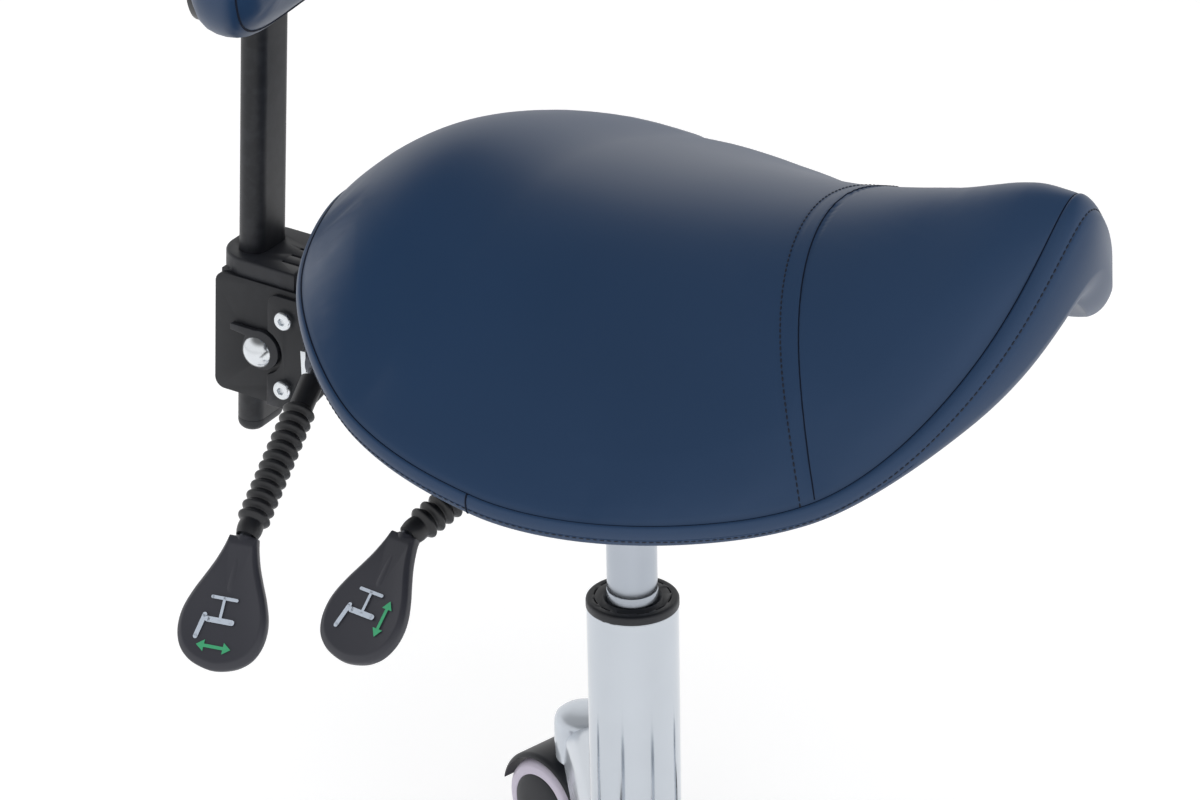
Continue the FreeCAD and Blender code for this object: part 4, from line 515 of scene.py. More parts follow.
def make_sleeve_tree():
    """Ribbed hose round a curve: its radius swells once per rib, between two smooth cuffs."""
    tree = GeometryTree("ribbed_sleeve", SLEEVE)
    start, work = tree.start, tree.math
    dense = tree.put("GeometryNodeResampleCurve", {"Curve": start["Geometry"], "Count": 280})
    along = tree.add("GeometryNodeSplineParameter")
    travel = work("MULTIPLY", along.outputs["Factor"], start["Length"])
    ribbed = work("SUBTRACT", work("SUBTRACT", start["Length"], start["Upper Cuff"]), start["Lower Cuff"])
    share = work("DIVIDE", work("SUBTRACT", travel, start["Upper Cuff"]), ribbed, clamp=True)
    wave = work("COSINE", work("MULTIPLY", work("MULTIPLY", share, start["Ribs"]), 2 * math.pi))
    swell = work("POWER", work("MULTIPLY", work("SUBTRACT", 1.0, wave), 0.5), 0.72)
    rise = work("MULTIPLY", swell, work("SUBTRACT", start["Crest Radius"], start["Root Radius"]))
    radius = work("ADD", start["Root Radius"], rise)
    past = work("SUBTRACT", work("ADD", travel, start["Lower Cuff"]), start["Length"])
    low_end = work("DIVIDE", past, start["Lower Cuff"], clamp=True)
    flare = work("MULTIPLY", work("SINE", work("MULTIPLY", low_end, math.pi)), 0.0006)
    radius = work("SUBTRACT", work("ADD", radius, flare), work("MULTIPLY", low_end, 0.0008))
    sized = tree.put("GeometryNodeSetCurveRadius", {"Curve": dense.outputs["Curve"], "Radius": radius})
    ring = tree.put("GeometryNodeCurvePrimitiveCircle", {"Resolution": 40, "Radius": 1.0})
    sources = {"Curve": sized.outputs["Curve"], "Profile Curve": ring.outputs["Curve"], "Fill Caps": True}
    skin = tree.put("GeometryNodeCurveToMesh", sources)
    if "Scale" in skin.inputs:
        tree.feed(skin.inputs["Scale"], radius)
    tree.close(skin.outputs["Mesh"])
    return tree


STITCHES = make_stitch_tree()
SLEEVES = make_sleeve_tree()


def curve_object(name, points, closed=False):
    data = bpy.data.curves.new(name, "CURVE")
    data.dimensions = "3D"
    spline = data.splines.new("POLY")
    spline.points.add(len(points) - 1)
    for point, place in zip(spline.points, points):
        point.co = (*place, 1.0)
    spline.use_cyclic_u = closed
    return new_object(name, data)


def round_tube(name, points, radius, resolution, closed=False, capped=False):
    """Round wire along a line."""
    path = curve_object(name, points, closed)
    path.data.bevel_depth = radius
    path.data.bevel_resolution = resolution
    path.data.use_fill_caps = capped
    mesh = plain_mesh(path)
    mesh.materials.clear()
    bpy.data.objects.remove(path)
    return new_object(name, mesh)


def stitch_row(name, points, body, closed=False):
    row = STITCHES.made(curve_object(name, points, closed), {**STITCH, "Material": MAT["thread"]})
    return finish_piece(row, "thread", body)


# Seat cushion

SEAT_HALF_WIDTH = 207.3
SEAT_REAR_F = -169.3
SEAT_FRONT_F = 250.4
SEAT_MIDDLE_F = 29.6
FRONT_POWERS = (1.74, 0.57)
REAR_POWERS = (2.57, 0.78)
RIDGE_U = (
    (-190.0, 194.9), (-117.0, 245.7), (-43.0, 242.3), (30.0, 245.3), (103.0, 253.8), (177.0, 272.0),
    (222.0, 287.8), (250.0, 289.5),
)
FLANK_FALL = ((-190.0, 0.56), (-80.0, 0.43), (30.0, 0.59), (140.0, 0.87), (250.0, 1.53))
RIDGE_ROUNDING = ((-190.0, 60.6), (30.0, 96.6), (250.0, 21.1))
EDGE_HEIGHT = 12.4
NOSE_HEIGHT = 61.0
NOSE_START_F = 129.3
NOSE_GROWTH = 4.9
EDGE_BULGE = 3.6
NOSE_BULGE = 20.4
BULGE_GROWTH = 6.8
STRIP_WIDTH = 9.0
NOSE_STRIP_WIDTH = 12.0
PAN_INSET = 17.0
CENTRE_THICKNESS = 52.0
CROWN_INSET = 26.0
PAN_RISE = 4.0
SEAT_POINTS_ROUND = 600
BAND_JOINT_F = 28.3

# Rings of the edge strip, as shares of its width: closest where it rolls in at the seam and at the stitches
STRIP_SHARES = (
    0.04, 0.09, 0.15, 0.23, 0.33, 0.45, 0.57, 0.69, 0.79, 0.87, 0.93, 0.97, 1.0, 1.03, 1.08, 1.16, 1.27, 1.42,
)

# The cloth that swells the cushions: metres, force and frames, and the rings that hold it at the seam
CLOTH_SHRINK = 0.002
CLOTH_GRID = 0.005
CLOTH_PRESSURE = 4.0
CLOTH_FRAMES = 20
HELD_RINGS = 14.0


def smooth_curve(stations, f):
    """Smooth curve through a few stations, at every value of f."""
    x = np.array([s[0] for s in stations])
    y = np.array([s[1] for s in stations])
    slopes = np.array([
        (y[min(i + 1, len(x) - 1)] - y[max(i - 1, 0)]) / (x[min(i + 1, len(x) - 1)] - x[max(i - 1, 0)])
        for i in range(len(x))
    ])
    f = np.clip(f, x[0], x[-1])
    i = np.clip(np.searchsorted(x, f, side="right") - 1, 0, len(x) - 2)
    span = x[i + 1] - x[i]
    t = (f - x[i]) / span
    return (
        y[i] * (1 + 2 * t) * (1 - t) ** 2 + slopes[i] * span * t * (1 - t) ** 2
        + y[i + 1] * t * t * (3 - 2 * t) - slopes[i + 1] * span * t * t * (1 - t)
    )


def evenly(x, y, count):
    """Points spaced evenly round a closed outline."""
    x, y = np.append(x, x[0]), np.append(y, y[0])
    length = np.concatenate([[0.0], np.cumsum(np.hypot(np.diff(x), np.diff(y)))])
    even = np.linspace(0.0, length[-1], count, endpoint=False)
    return np.interp(even, length, x), np.interp(even, length, y)


def seat_top(f, r):
    rounding = smooth_curve(RIDGE_ROUNDING, f)
    return smooth_curve(RIDGE_U, f) - smooth_curve(FLANK_FALL, f) * (np.hypot(rounding, r) - rounding)


def edge_height(f):
    share = np.clip((f - NOSE_START_F) / (SEAT_FRONT_F - NOSE_START_F), 0.0, 1.0)
    return EDGE_HEIGHT + (NOSE_HEIGHT - EDGE_HEIGHT) * share ** NOSE_GROWTH


def nose_share(f):
    return np.clip((f - SEAT_MIDDLE_F) / (SEAT_FRONT_F - SEAT_MIDDLE_F), 0.0, 1.0)


def seat_outline(count):
    """Points of the main seam in plan, evenly spaced, and their outward directions."""
    quarter = np.linspace(0.0, math.pi / 2, 400)
    sides = []
    for end, (power, root) in ((SEAT_FRONT_F, FRONT_POWERS), (SEAT_REAR_F, REAR_POWERS)):
        share = (np.sin(quarter) ** 2) ** (1.0 / power)
        half = SEAT_HALF_WIDTH * (np.cos(quarter) ** 2) ** root
        sides.append((SEAT_MIDDLE_F + share * (end - SEAT_MIDDLE_F), half))
    front, rear = sides
    f = np.concatenate([front[0][::-1], rear[0][1:], rear[0][-2::-1], front[0][1:-1]])
    r = np.concatenate([front[1][::-1], rear[1][1:], -rear[1][-2::-1], -front[1][1:-1]])
    f, r = evenly(f, r, count)
    for _ in range(6):
        f = (np.roll(f, 1) + 2 * f + np.roll(f, -1)) / 4
        r = (np.roll(r, 1) + 2 * r + np.roll(r, -1)) / 4
    df, dr = np.roll(f, -1) - np.roll(f, 1), np.roll(r, -1) - np.roll(r, 1)
    size = np.hypot(df, dr)
    out_f, out_r = -dr / size, df / size
    flip = np.sign(np.sum(out_f * (f - SEAT_MIDDLE_F) + out_r * r))
    return f, r, out_f * flip, out_r * flip


def edge_profile(f, travel):
    """Place on the rolled edge, outward and down, after a length of travel from the main seam."""
    bulge = EDGE_BULGE + (NOSE_BULGE - EDGE_BULGE) * nose_share(f) ** BULGE_GROWTH
    height = edge_height(f)
    angle = np.linspace(math.radians(16.0), math.radians(172.0), 60)[:, None]
    out = bulge * np.sin(angle)
    down = height / 2.0 * (1.0 - np.cos(angle))
    out, down = out - out[0], down - down[0]
    step = np.hypot(np.diff(out, axis=0), np.diff(down, axis=0))
    length = np.concatenate([np.zeros((1, step.shape[1])), np.cumsum(step, axis=0)])
    place_out, place_down = np.empty_like(f), np.empty_like(f)
    for k in range(len(f)):
        reach = travel[k] if travel[k] >= 0 else -travel[k] * length[-1, k]
        place_out[k] = np.interp(reach, length[:, k], out[:, k])
        place_down[k] = np.interp(reach, length[:, k], down[:, k])
    return place_out, place_down


CROSS_SEAM_F = 124.0
CROSS_BEND = 26.6
CROSS_CURL = 1.65
CROSS_REACH = 168.0
CROSS_STRIP = 10.0


def cross_seam(r, ahead=0.0):
    """The sewn line across the seat, or one parallel to it."""
    share = r / 100.0
    return CROSS_SEAM_F + ahead + CROSS_BEND * share ** 2 + CROSS_CURL * share ** 4


def cross_relief(f, r):
    """Height of the upholstery beside the cross seam: a groove, a raised lap and a stitched dimple."""
    share = r / 100.0
    slope = (2 * CROSS_BEND * share + 4 * CROSS_CURL * share ** 3) / 100.0
    away = (f - cross_seam(r)) / np.sqrt(1.0 + slope ** 2)
    groove = -0.9 * np.exp(-(away / 0.9) ** 2)
    lap = 0.55 / (1.0 + np.exp(away / 0.25)) * np.exp(-np.clip(-away, 0.0, None) / 12.0)
    dimple = -0.35 * np.exp(-((away + CROSS_STRIP) / 1.3) ** 2)
    return groove + lap + dimple


def seat_rings():
    """Rings of the whole closed cushion, from the crown's centre to the underside."""
    f, r, out_f, out_r = seat_outline(SEAT_POINTS_ROUND)
    reach = np.hypot(f - SEAT_MIDDLE_F, r)
    top, height = seat_top(f, r), edge_height(f)
    rings, marks = [], {}

    def drawn_in(share):
        """Outline drawn in towards the middle by share, so that rings never cross."""
        return SEAT_MIDDLE_F + (f - SEAT_MIDDLE_F) * share, r * share

    def over(share, relief=1.0, roll=0.0):
        pf, pr = drawn_in(share)
        rings.append((pf, pr, seat_top(pf, pr) + cross_relief(pf, pr) * relief - roll))

    def under(share, rise):
        pf, pr = drawn_in(share)
        thick = CENTRE_THICKNESS + (height - CENTRE_THICKNESS) * share ** 2
        rings.append((pf, pr, seat_top(pf, pr) - thick + rise))

    for step in np.linspace(0.012, 1.0, 104):
        over(step * (1.0 - CROWN_INSET / reach))
    for inset in (22.0, 18.0, 14.5, 11.5, 9.0, 7.0, 5.4, 4.1, 3.0, 2.1, 1.4, 0.8, 0.4, 0.0):
        roll = 1.3 * math.exp(-(inset / 3.2)) + 0.5 * math.exp(-((inset / 0.9) ** 2))
        over(1.0 - inset / reach, 1 - math.exp(-inset / 4.0), roll)
    marks["seam"] = len(rings) - 1
    strip = STRIP_WIDTH + (NOSE_STRIP_WIDTH - STRIP_WIDTH) * nose_share(f) ** 2
    for share in STRIP_SHARES:
        travel = share * strip
        out, down = edge_profile(f, travel)
        seam_roll = 1.8 * np.exp(-(travel / 1.1))
        crown = 0.45 * np.sin(np.clip(share, 0, 1) * math.pi) ** 0.7
        dimple = 0.45 * np.exp(-(((travel - strip) / 1.1) ** 2))
        lift = crown - dimple
        side = out + lift * 0.5
        rings.append((f + out_f * side, r + out_r * side, top - down - seam_roll + lift * 0.8))
        if share == 1.0:
            marks["stitch"] = len(rings) - 1
    for share in np.linspace(0.62, 1.0, 12):
        out, down = edge_profile(f, -share * np.ones_like(f))
        rings.append((f + out_f * out, r + out_r * out, top - down))
    marks["edge_end"] = len(rings) - 1
    for inset in (3.0, 6.0, 9.0, PAN_INSET - 0.6):
        under(1.0 - inset / reach, 0.0)
    under(1.0 - (PAN_INSET + 1.6) / reach, PAN_RISE)
    for share in (0.82, 0.7, 0.55, 0.4, 0.25, 0.1, 0.01):
        under(share, PAN_RISE)
    return rings, marks


def rings_to_mesh(name, rings):
    """Closed mesh of nested rings, with a point at each end."""
    count = len(rings[0][0])
    points = [at(pf[k], pr[k], pu[k]) for pf, pr, pu in rings for k in range(count)]
    faces = grid_faces(len(rings), count)
    first = sum(points[:count], Vector()) / count
    last = sum(points[-count:], Vector()) / count
    points += [first, last]
    base = (len(rings) - 1) * count
    for k in range(count):
        n = (k + 1) % count
        faces.append((n, k, len(points) - 2))
        faces.append((base + k, base + n, len(points) - 1))
    mesh = made_mesh(name, points, faces)
    fix_normals(mesh, weld=None)
    return mesh


def ring_points(mesh, ring, count):
    return [mesh.vertices[ring * count + k].co.copy() for k in range(count)]


def vertex_places(mesh):
    places = np.empty(len(mesh.vertices) * 3)
    mesh.vertices.foreach_get("co", places)
    return places.reshape(-1, 3)


def inflated(mesh, cap):
    """Swell a remeshed copy as cloth and carry its movement back to the fine mesh."""
    copy = new_object("cloth_form", mesh.copy())
    normals = [v.normal.copy() for v in copy.data.vertices]
    for vertex, normal in zip(copy.data.vertices, normals):
        vertex.co -= normal * CLOTH_SHRINK
    remesh = copy.modifiers.new("even", "REMESH")
    remesh.mode = "VOXEL"
    remesh.voxel_size = CLOTH_GRID
    coarse = plain_mesh(copy)
    copy.modifiers.clear()
    copy.data = coarse
    rest = vertex_places(coarse)
    cloth = copy.modifiers.new("swell", "CLOTH")
    settings = cloth.settings
    settings.use_pressure = True
    settings.uniform_pressure_force = CLOTH_PRESSURE
    settings.effector_weights.gravity = 0.0
    settings.tension_stiffness = 20.0
    settings.compression_stiffness = 20.0
    settings.bending_stiffness = 2.0
    settings.quality = 5
    cloth.point_cache.frame_start = 1
    cloth.point_cache.frame_end = CLOTH_FRAMES
    for number in range(1, CLOTH_FRAMES + 1):
        scene.frame_set(number)
    swollen = copy.evaluated_get(bpy.context.evaluated_depsgraph_get()).to_mesh()
    shift = vertex_places(swollen) - rest
    shift -= shift.mean(axis=0)
    size = np.linalg.norm(shift, axis=1, keepdims=True)
    shift *= np.minimum(1.0, cap / np.maximum(size, 1e-9))
    tree = KDTree(len(rest))
    for index, place in enumerate(rest):
        tree.insert(place, index)
    tree.balance()
    scene.frame_set(1)
    bpy.data.objects.remove(copy)
    result = np.zeros((len(mesh.vertices), 3))
    for index, vertex in enumerate(mesh.vertices):
        total = 0.0
        for _, near, distance in tree.find_n(vertex.co, 5):
            weight = 1.0 / (distance + 0.001) ** 2
            result[index] += shift[near] * weight
            total += weight
        result[index] /= total
    return result


def swell(mesh, rings, seam, cap, centre):
    """Puff the crown up, less and less over the last rings before the main seam."""
    held = []
    for ring, (places, _, _) in enumerate(rings):
        held += [min(1.0, max(0.0, (seam - ring) / HELD_RINGS))] * len(places)
    for vertex, shift, hold in zip(mesh.vertices, inflated(mesh, cap), held + [centre, 0.0]):
        vertex.co += Vector(shift * hold)


def make_seat():
    rings, marks = seat_rings()
    mesh = rings_to_mesh("seat_cushion", rings)
    count = SEAT_POINTS_ROUND
    swell(mesh, rings, marks["seam"], 0.004, 1.0)
    cushion = new_object("seat_cushion", mesh)
    finish_piece(cushion, "navy", "seat")
    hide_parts("seat_cover", "seat_foam")
    shaded_seam_line(ring_points(mesh, marks["seam"], count), "seat_main_seam", "seat", True, 0.00055)
    f, r, _, _ = seat_outline(count)
    joint = min((k for k in range(count) if r[k] > 0), key=lambda k: abs(f[k] - BAND_JOINT_F))
    band = range(marks["seam"], marks["edge_end"] - 2)
    across = [mesh.vertices[ring * count + joint].co.copy() for ring in band]
    shaded_seam_line(across, "seat_band_joint", "seat", False, 0.0005)
    stitch_row("seat_edge_stitches", ring_points(mesh, marks["stitch"], count), "seat", closed=True)
    surface = BVHTree.FromObject(cushion, bpy.context.evaluated_depsgraph_get())
    shaded_seam_line(across_seat(surface, 0.0), "seat_cross_seam", "seat", False, 0.00036)
    stitch_row("seat_cross_stitches", across_seat(surface, -CROSS_STRIP), "seat")


def across_seat(surface, ahead):
    """Points on the seat along the cross seam, or along a line parallel to it."""
    line = [drop_on(surface, cross_seam(r, ahead), r) for r in np.linspace(-1.0, 1.0, 260) * CROSS_REACH]
    return [p for p in line if p is not None]


def drop_on(surface, f, r):
    """Point of the seat's upper surface under a place in plan, if it lies inside the main seam."""
    share = max((f - SEAT_MIDDLE_F) / (SEAT_FRONT_F - SEAT_MIDDLE_F), 0.0)
    power, root = FRONT_POWERS
    if abs(r) > (SEAT_HALF_WIDTH - 1.0) * max(1.0 - share ** power, 0.0) ** root:
        return None
    hit = surface.ray_cast(at(f, r, 400.0), Vector((0, 0, -1)))
    return hit[0]


def shaded_seam_line(points, name, body, closed, radius):
    """Dark cord-thin line that lies in the bottom of a sewn groove: painted shade of the groove's gap."""
    return finish_piece(round_tube(name, points, radius, 1, closed), "seam", body)


# Lumbar pad

PAD_BEND_RADIUS = 400.0
PAD_MIDDLE_F = -181.0
PAD_CENTRE_U = 414.0
PAD_HALF_WIDTH = 166.0
PAD_HALF_HEIGHT = 100.0
PAD_THICKNESS = 44.0
PAD_CORNER = 2.0 / 3.4
PAD_SEAM_INSET = 4.4

# The pad's edge from the front's welt to the back: set back from the outline, and height above the back
PAD_EDGE = (
    (14.0, 35.0), (11.0, 33.2), (8.5, 31.0), (6.8, 29.0), (5.6, 27.4), (4.9, 26.2), (PAD_SEAM_INSET, 25.6),
    (3.8, 25.2), (2.4, 24.2), (1.2, 22.0), (0.5, 19.0), (0.4, 15.0), (1.0, 11.0), (2.4, 7.0), (4.6, 4.0),
    (8.0, 1.8), (13.0, 0.8), (20.0, 0.4),
)
SEAT_LEAN = math.radians(4.0)
TILT_F = 48.0
TILT_U = 150.0


def leant(f, r, u):
    """Place of the seat group's level measures once it leans forward."""
    ahead, above = f - TILT_F, u - TILT_U
    cos_l, sin_l = math.cos(SEAT_LEAN), math.sin(SEAT_LEAN)
    return TILT_F + ahead * cos_l + above * sin_l, r, TILT_U + above * cos_l - ahead * sin_l


def pad_place(across, up, depth):
    """Point of the pad: along its curve, up from its middle, and forward of its back face."""
    radius = PAD_BEND_RADIUS + PAD_THICKNESS / 2.0 - depth
    angle = across / PAD_BEND_RADIUS
    centre = PAD_MIDDLE_F + PAD_BEND_RADIUS
    return leant(centre - radius * np.cos(angle), radius * np.sin(angle), PAD_CENTRE_U + up)


def make_pad():
    """Curved pad with a crowned front, a piped welt and a flat back."""
    count = 480
    angle = np.linspace(0.0, 2 * math.pi, count, endpoint=False)
    x = PAD_HALF_WIDTH * np.sign(np.cos(angle)) * np.abs(np.cos(angle)) ** PAD_CORNER
    y = PAD_HALF_HEIGHT * np.sign(np.sin(angle)) * np.abs(np.sin(angle)) ** PAD_CORNER
    x, y = evenly(x, y, count)
    rings = []
    for step in np.linspace(0.01, 1.0, 46):
        share = step * 0.82
        rings.append(pad_place(x * share, y * share, PAD_THICKNESS - 2.0 - 14.0 * share ** 4))
    for inset, depth in PAD_EDGE:
        if inset == PAD_SEAM_INSET:
            seam = len(rings)
        wide, tall = 1 - inset / PAD_HALF_WIDTH, 1 - inset / PAD_HALF_HEIGHT
        rings.append(pad_place(x * wide, y * tall, depth))
    for share in (0.7, 0.5, 0.3, 0.1, 0.01):
        rings.append(pad_place(x * share, y * share, 0.4))
    mesh = rings_to_mesh("lumbar_cushion", rings)
    swell(mesh, rings, seam, 0.005, 0.0)
    cushion = new_object("lumbar_cushion", mesh)
    finish_piece(cushion, "navy", "back")
    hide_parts("pad_cover", "pad_foam")
    shaded_seam_line(ring_points(mesh, seam, count), "lumbar_seam", "back", True, 0.0006)


# Hand levers

LIFT_PIVOT = (-18.0, 39.0, 127.0)
LIFT_NECK = (-52.0, 140.0, 93.0)
LIFT_TIP = (-60.0, 188.0, 43.0)
LOCK_NECK = (-152.0, 140.0, 68.0)
LOCK_TIP = (-146.5, 185.0, 10.5)
LOCK_PIVOT = leant(-161.9, 44.6, 112.3)
PADDLE_LENGTH = 0.072

# The paddle, in metres from the end of its rod: half widths along it, rings as a share of the outline and
# a height, the round socket as radius and length, and the fin's outline
PADDLE_HALF = [
    (0.0, 0.0080), (0.006, 0.0095), (0.014, 0.0123), (0.022, 0.0160), (0.031, 0.0204), (0.040, 0.0238),
    (0.048, 0.0250), (0.056, 0.0240), (0.063, 0.0206), (0.068, 0.0148), (0.0708, 0.0078),
    (PADDLE_LENGTH, 0.0),
]
PADDLE_LEVELS = (
    (0.55, -0.0012), (0.93, -0.0014), (0.975, -0.0012), (0.995, -0.0004), (1.0, 0.0008), (1.0, 0.0026),
    (0.992, 0.0034), (0.975, 0.0040), (0.93, 0.0047), (0.905, 0.0051), (0.885, 0.00525), (0.86, 0.0052),
    (0.75, 0.0049), (0.6, 0.0046), (0.4, 0.0044), (0.2, 0.0043), (0.02, 0.0043),
)
PADDLE_SOCKET = (
    (0.0, -0.0006), (0.0058, -0.0006), (0.0063, 0.0), (0.0064, 0.012), (0.0062, 0.028), (0.0056, 0.033),
    (0.0040, 0.0358), (0.0018, 0.0370), (0.0, 0.0373),
)
PADDLE_FIN = ((0.004, -0.0072), (0.030, -0.0072), (0.037, -0.0046), (0.043, -0.0008), (0.004, -0.0008))
PRINT_HEIGHT = 0.00531

# The sign of a stool, side on: its seat, its back, its column and its base, each a stroke and a width
STOOL_SIGN = (
    ((0.046, -0.008), (0.046, 0.006), 0.0030), ((0.044, -0.010), (0.056, -0.0125), 0.0026),
    ((0.046, -0.001), (0.034, -0.001), 0.0016), ((0.034, -0.008), (0.034, 0.006), 0.0018),
)
ARROW_WIDTH = 0.0018
ARROW_TIP = 0.0045


def frame_along(origin, target):
    """Matrix whose X runs from origin to target and whose Z leans up."""
    x = (target - origin).normalized()
    y = Vector((0, 0, 1)).cross(x).normalized()
    z = x.cross(y)
    turn = Matrix((x, y, z)).transposed().to_4x4()
    return Matrix.Translation(origin) @ turn


def make_sleeve(name, node, pivot, neck, body, upper_cuff, ribs):
    start, end = at(*pivot), at(*neck)
    way = (end - start).normalized()
    first = start + way * 0.0122
    last = end - way * 0.0006
    values = {
        **SLEEVE, "Length": (last - first).length, "Ribs": float(ribs), "Upper Cuff": upper_cuff,
        "Material": MAT["rubber"],
    }
    sleeve = SLEEVES.made(curve_object(name, [first, last]), values)
    fix_normals(sleeve.data)
    finish_piece(sleeve, "rubber", body, 50.0)
    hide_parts(node)


def paddle_outline(count):
    """Teardrop outline in the paddle's own plane: a smooth line through its half widths, evenly spaced."""
    points = PADDLE_HALF + [(x, -y) for x, y in reversed(PADDLE_HALF[:-1])]
    line = []
    last = len(points) - 1
    for i in range(last):
        corners = points[max(i - 1, 0)], points[i], points[i + 1], points[min(i + 2, last)]
        for t in (step / 12.0 for step in range(12)):
            place = []
            for a, b, c, d in zip(*corners):
                curve = (2 * a - 5 * b + 4 * c - d) * t * t + (3 * b - a - 3 * c + d) * t ** 3
                place.append(0.5 * (2 * b + (c - a) * t + curve))
            line.append(place)
    x, y = np.array(line + [list(points[-1])]).T
    return evenly(x, y, count)


def paddle_piece(name, mesh, body, sharp):
    return finish_piece(new_object(name, mesh), "paddle", body, sharp)


def make_paddle(name, node, neck, tip, body):
    """Hand paddle: softened teardrop plate with a shallow hollow, a rod socket and a fin beneath."""
    place = frame_along(at(*neck), at(*tip))
    count = 160
    outline = list(zip(*paddle_outline(count)))
    middle = PADDLE_LENGTH * 0.55
    points = []
    for share, height in PADDLE_LEVELS:
        points += [place @ Vector((middle + (x - middle) * share, y * share, height)) for x, y in outline]
    faces = grid_faces(len(PADDLE_LEVELS), count)
    faces.append(tuple(range(count)))
    faces.append(tuple(range(len(points) - 1, len(points) - 1 - count, -1)))
    mesh = made_mesh(name, points, faces)
    fix_normals(mesh)
    plate = paddle_piece(name, mesh, body, 40.0)
    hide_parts(node)
    socket = turned_mesh(name + "_socket", PADDLE_SOCKET, 48)
    tilt = Matrix.Rotation(math.pi / 2, 4, "Y")
    socket.transform(place @ Matrix.Translation((0, 0, -0.0016)) @ tilt)
    paddle_piece(name + "_socket", socket, body, 40.0)
    n = len(PADDLE_FIN)
    sides = [place @ Vector((x, y, z)) for y in (0.0012, -0.0012) for x, z in PADDLE_FIN]
    faces = [tuple(range(n)), tuple(range(2 * n - 1, n - 1, -1))]
    faces += [(i, (i + 1) % n, n + (i + 1) % n, n + i) for i in range(n)]
    fin = made_mesh(name + "_fin", sides, faces)
    fix_normals(fin)
    paddle_piece(name + "_fin", fin, body, 30.0)
    return place


def ribbon(a, b, width):
    """Corners of a straight mark from a to b."""
    size = math.hypot(b[0] - a[0], b[1] - a[1])
    nx, ny = (a[1] - b[1]) / size * width / 2, (b[0] - a[0]) / size * width / 2
    return [(a[0] + nx, a[1] + ny), (a[0] - nx, a[1] - ny), (b[0] - nx, b[1] - ny), (b[0] + nx, b[1] + ny)]


def stroke(a, b, width):
    """Straight mark with round ends, as flat shapes."""
    shapes = [ribbon(a, b, width)]
    turns = np.linspace(0, 2 * math.pi, 14, endpoint=False)
    for x, y in (a, b):
        shapes.append([(x + width / 2 * math.cos(turn), y + width / 2 * math.sin(turn)) for turn in turns])
    return shapes


def arrow(tail, head):
    """Straight arrow: a shaft and a three-cornered point."""
    size = math.hypot(head[0] - tail[0], head[1] - tail[1])
    ux, uy = (head[0] - tail[0]) / size, (head[1] - tail[1]) / size
    neck = (head[0] - ux * ARROW_TIP, head[1] - uy * ARROW_TIP)
    wing = ARROW_TIP * 0.7
    point = [(neck[0] - uy * wing, neck[1] + ux * wing), (neck[0] + uy * wing, neck[1] - ux * wing), head]
    return [ribbon(tail, neck, ARROW_WIDTH), point]


def print_sign(name, place, shapes, finish, body):
    """Thin printed layer on a paddle's hollow face; each shape lies a hair above the one before."""
    points, faces = [], []
    for layer, shape in enumerate(shapes):
        base = len(points)
        height = PRINT_HEIGHT + layer * 1e-7
        points += [place @ Vector((px, py, height)) for px, py in shape]
        faces.append(tuple(range(base, base + len(shape))))
    mesh = made_mesh(name, points, faces)
    up = place.to_3x3() @ Vector((0, 0, 1))
    for face in mesh.polygons:
        if face.normal.dot(up) < 0:
            face.flip()
    finish_piece(new_object(name, mesh), finish, body)


def make_levers():
    """Both levers, with a generic sign of a stool and of the way each one moves it."""
    make_sleeve("lift_sleeve", "lift_lever_sleeve", LIFT_PIVOT, LIFT_NECK, "lift_lever", 0.012, 13)
    make_sleeve("lock_sleeve", "lock_lever_sleeve", LOCK_PIVOT, LOCK_NECK, "lock_lever", 0.018, 12)
    lift = make_paddle("lift_paddle", "lift_lever_paddle", LIFT_NECK, LIFT_TIP, "lift_lever")
    lock = make_paddle("lock_paddle", "lock_lever_paddle", LOCK_NECK, LOCK_TIP, "lock_lever")
    stool = [shape for a, b, width in STOOL_SIGN for shape in stroke(a, b, width)]
    up_down = arrow((0.045, 0.0125), (0.055, 0.0125)) + arrow((0.045, 0.0125), (0.035, 0.0125))
    tilting = arrow((0.060, -0.001), (0.060, 0.009)) + arrow((0.060, -0.001), (0.060, -0.011))
    for name, place, arrows in (("lift", lift, up_down), ("lock", lock, tilting)):
        print_sign(name + "_sign_stool", place, stool, "print_pale", name + "_lever")
        print_sign(name + "_sign_arrows", place, arrows, "print_green", name + "_lever")


# Frame, lift and base

LEG_REACH = 0.269
LEG_TIP_TOP = 0.0945
LEG_TIP_PROFILE = (
    (0.0, 0.0050), (0.008, 0.0048), (0.0125, 0.0042), (0.0160, 0.0030), (0.0182, 0.0012), (0.0192, -0.0014),
    (0.0195, -0.005), (0.0196, -0.016), (0.0190, -0.0215), (0.0, -0.0215),
)

# Width of the softened edge of each piece that shows, in metres, by finish
SOFT_EDGES = {
    "black_metal": {
        "clamp_bracket": 0.0008, "back_arm": 0.0007, "mechanism_housing": 0.0007, "seat_plate": 0.0006,
        "pad_bracket": 0.0006, "upright_tube": 0.0003,
    },
    "black_plastic": {
        "guide_collar": 0.0006, "hand_knob": 0.0015, "bolt_washer": 0.0006, "upright_plugs": 0.0004,
        "seat_pan": 0.0008, "pad_shell": 0.0008, "guide_bushing": 0.0004,
    },
    "zinc": {
        "carriage_bolt": 0.0004, "side_screws": 0.0003, "seat_bolts": 0.0004, "pad_screws": 0.0003,
        "tilt_axle": 0.0004, "lock_spindle": 0.0004,
    },
    "chrome_cast": {"star_base": 0.0005},
}
CASTER_EDGES = (
    ("hood", "black_plastic", 0.0007), ("wheels", "black_plastic", 0.0006), ("tyres", "tyre", 0.0006),
)


def tuck_pan(piece):
    """Draw the moulded pan's front in under the nose, so that the upholstery covers its rim."""
    for vertex in piece.data.vertices:
        share = min(max((-vertex.co.y - 0.09) / 0.1, 0.0), 1.0)
        share = share * share * (3.0 - 2.0 * share)
        vertex.co.x *= 1.0 - 0.42 * share
        vertex.co.y += 0.026 * share
        vertex.co.z += 0.010 * share


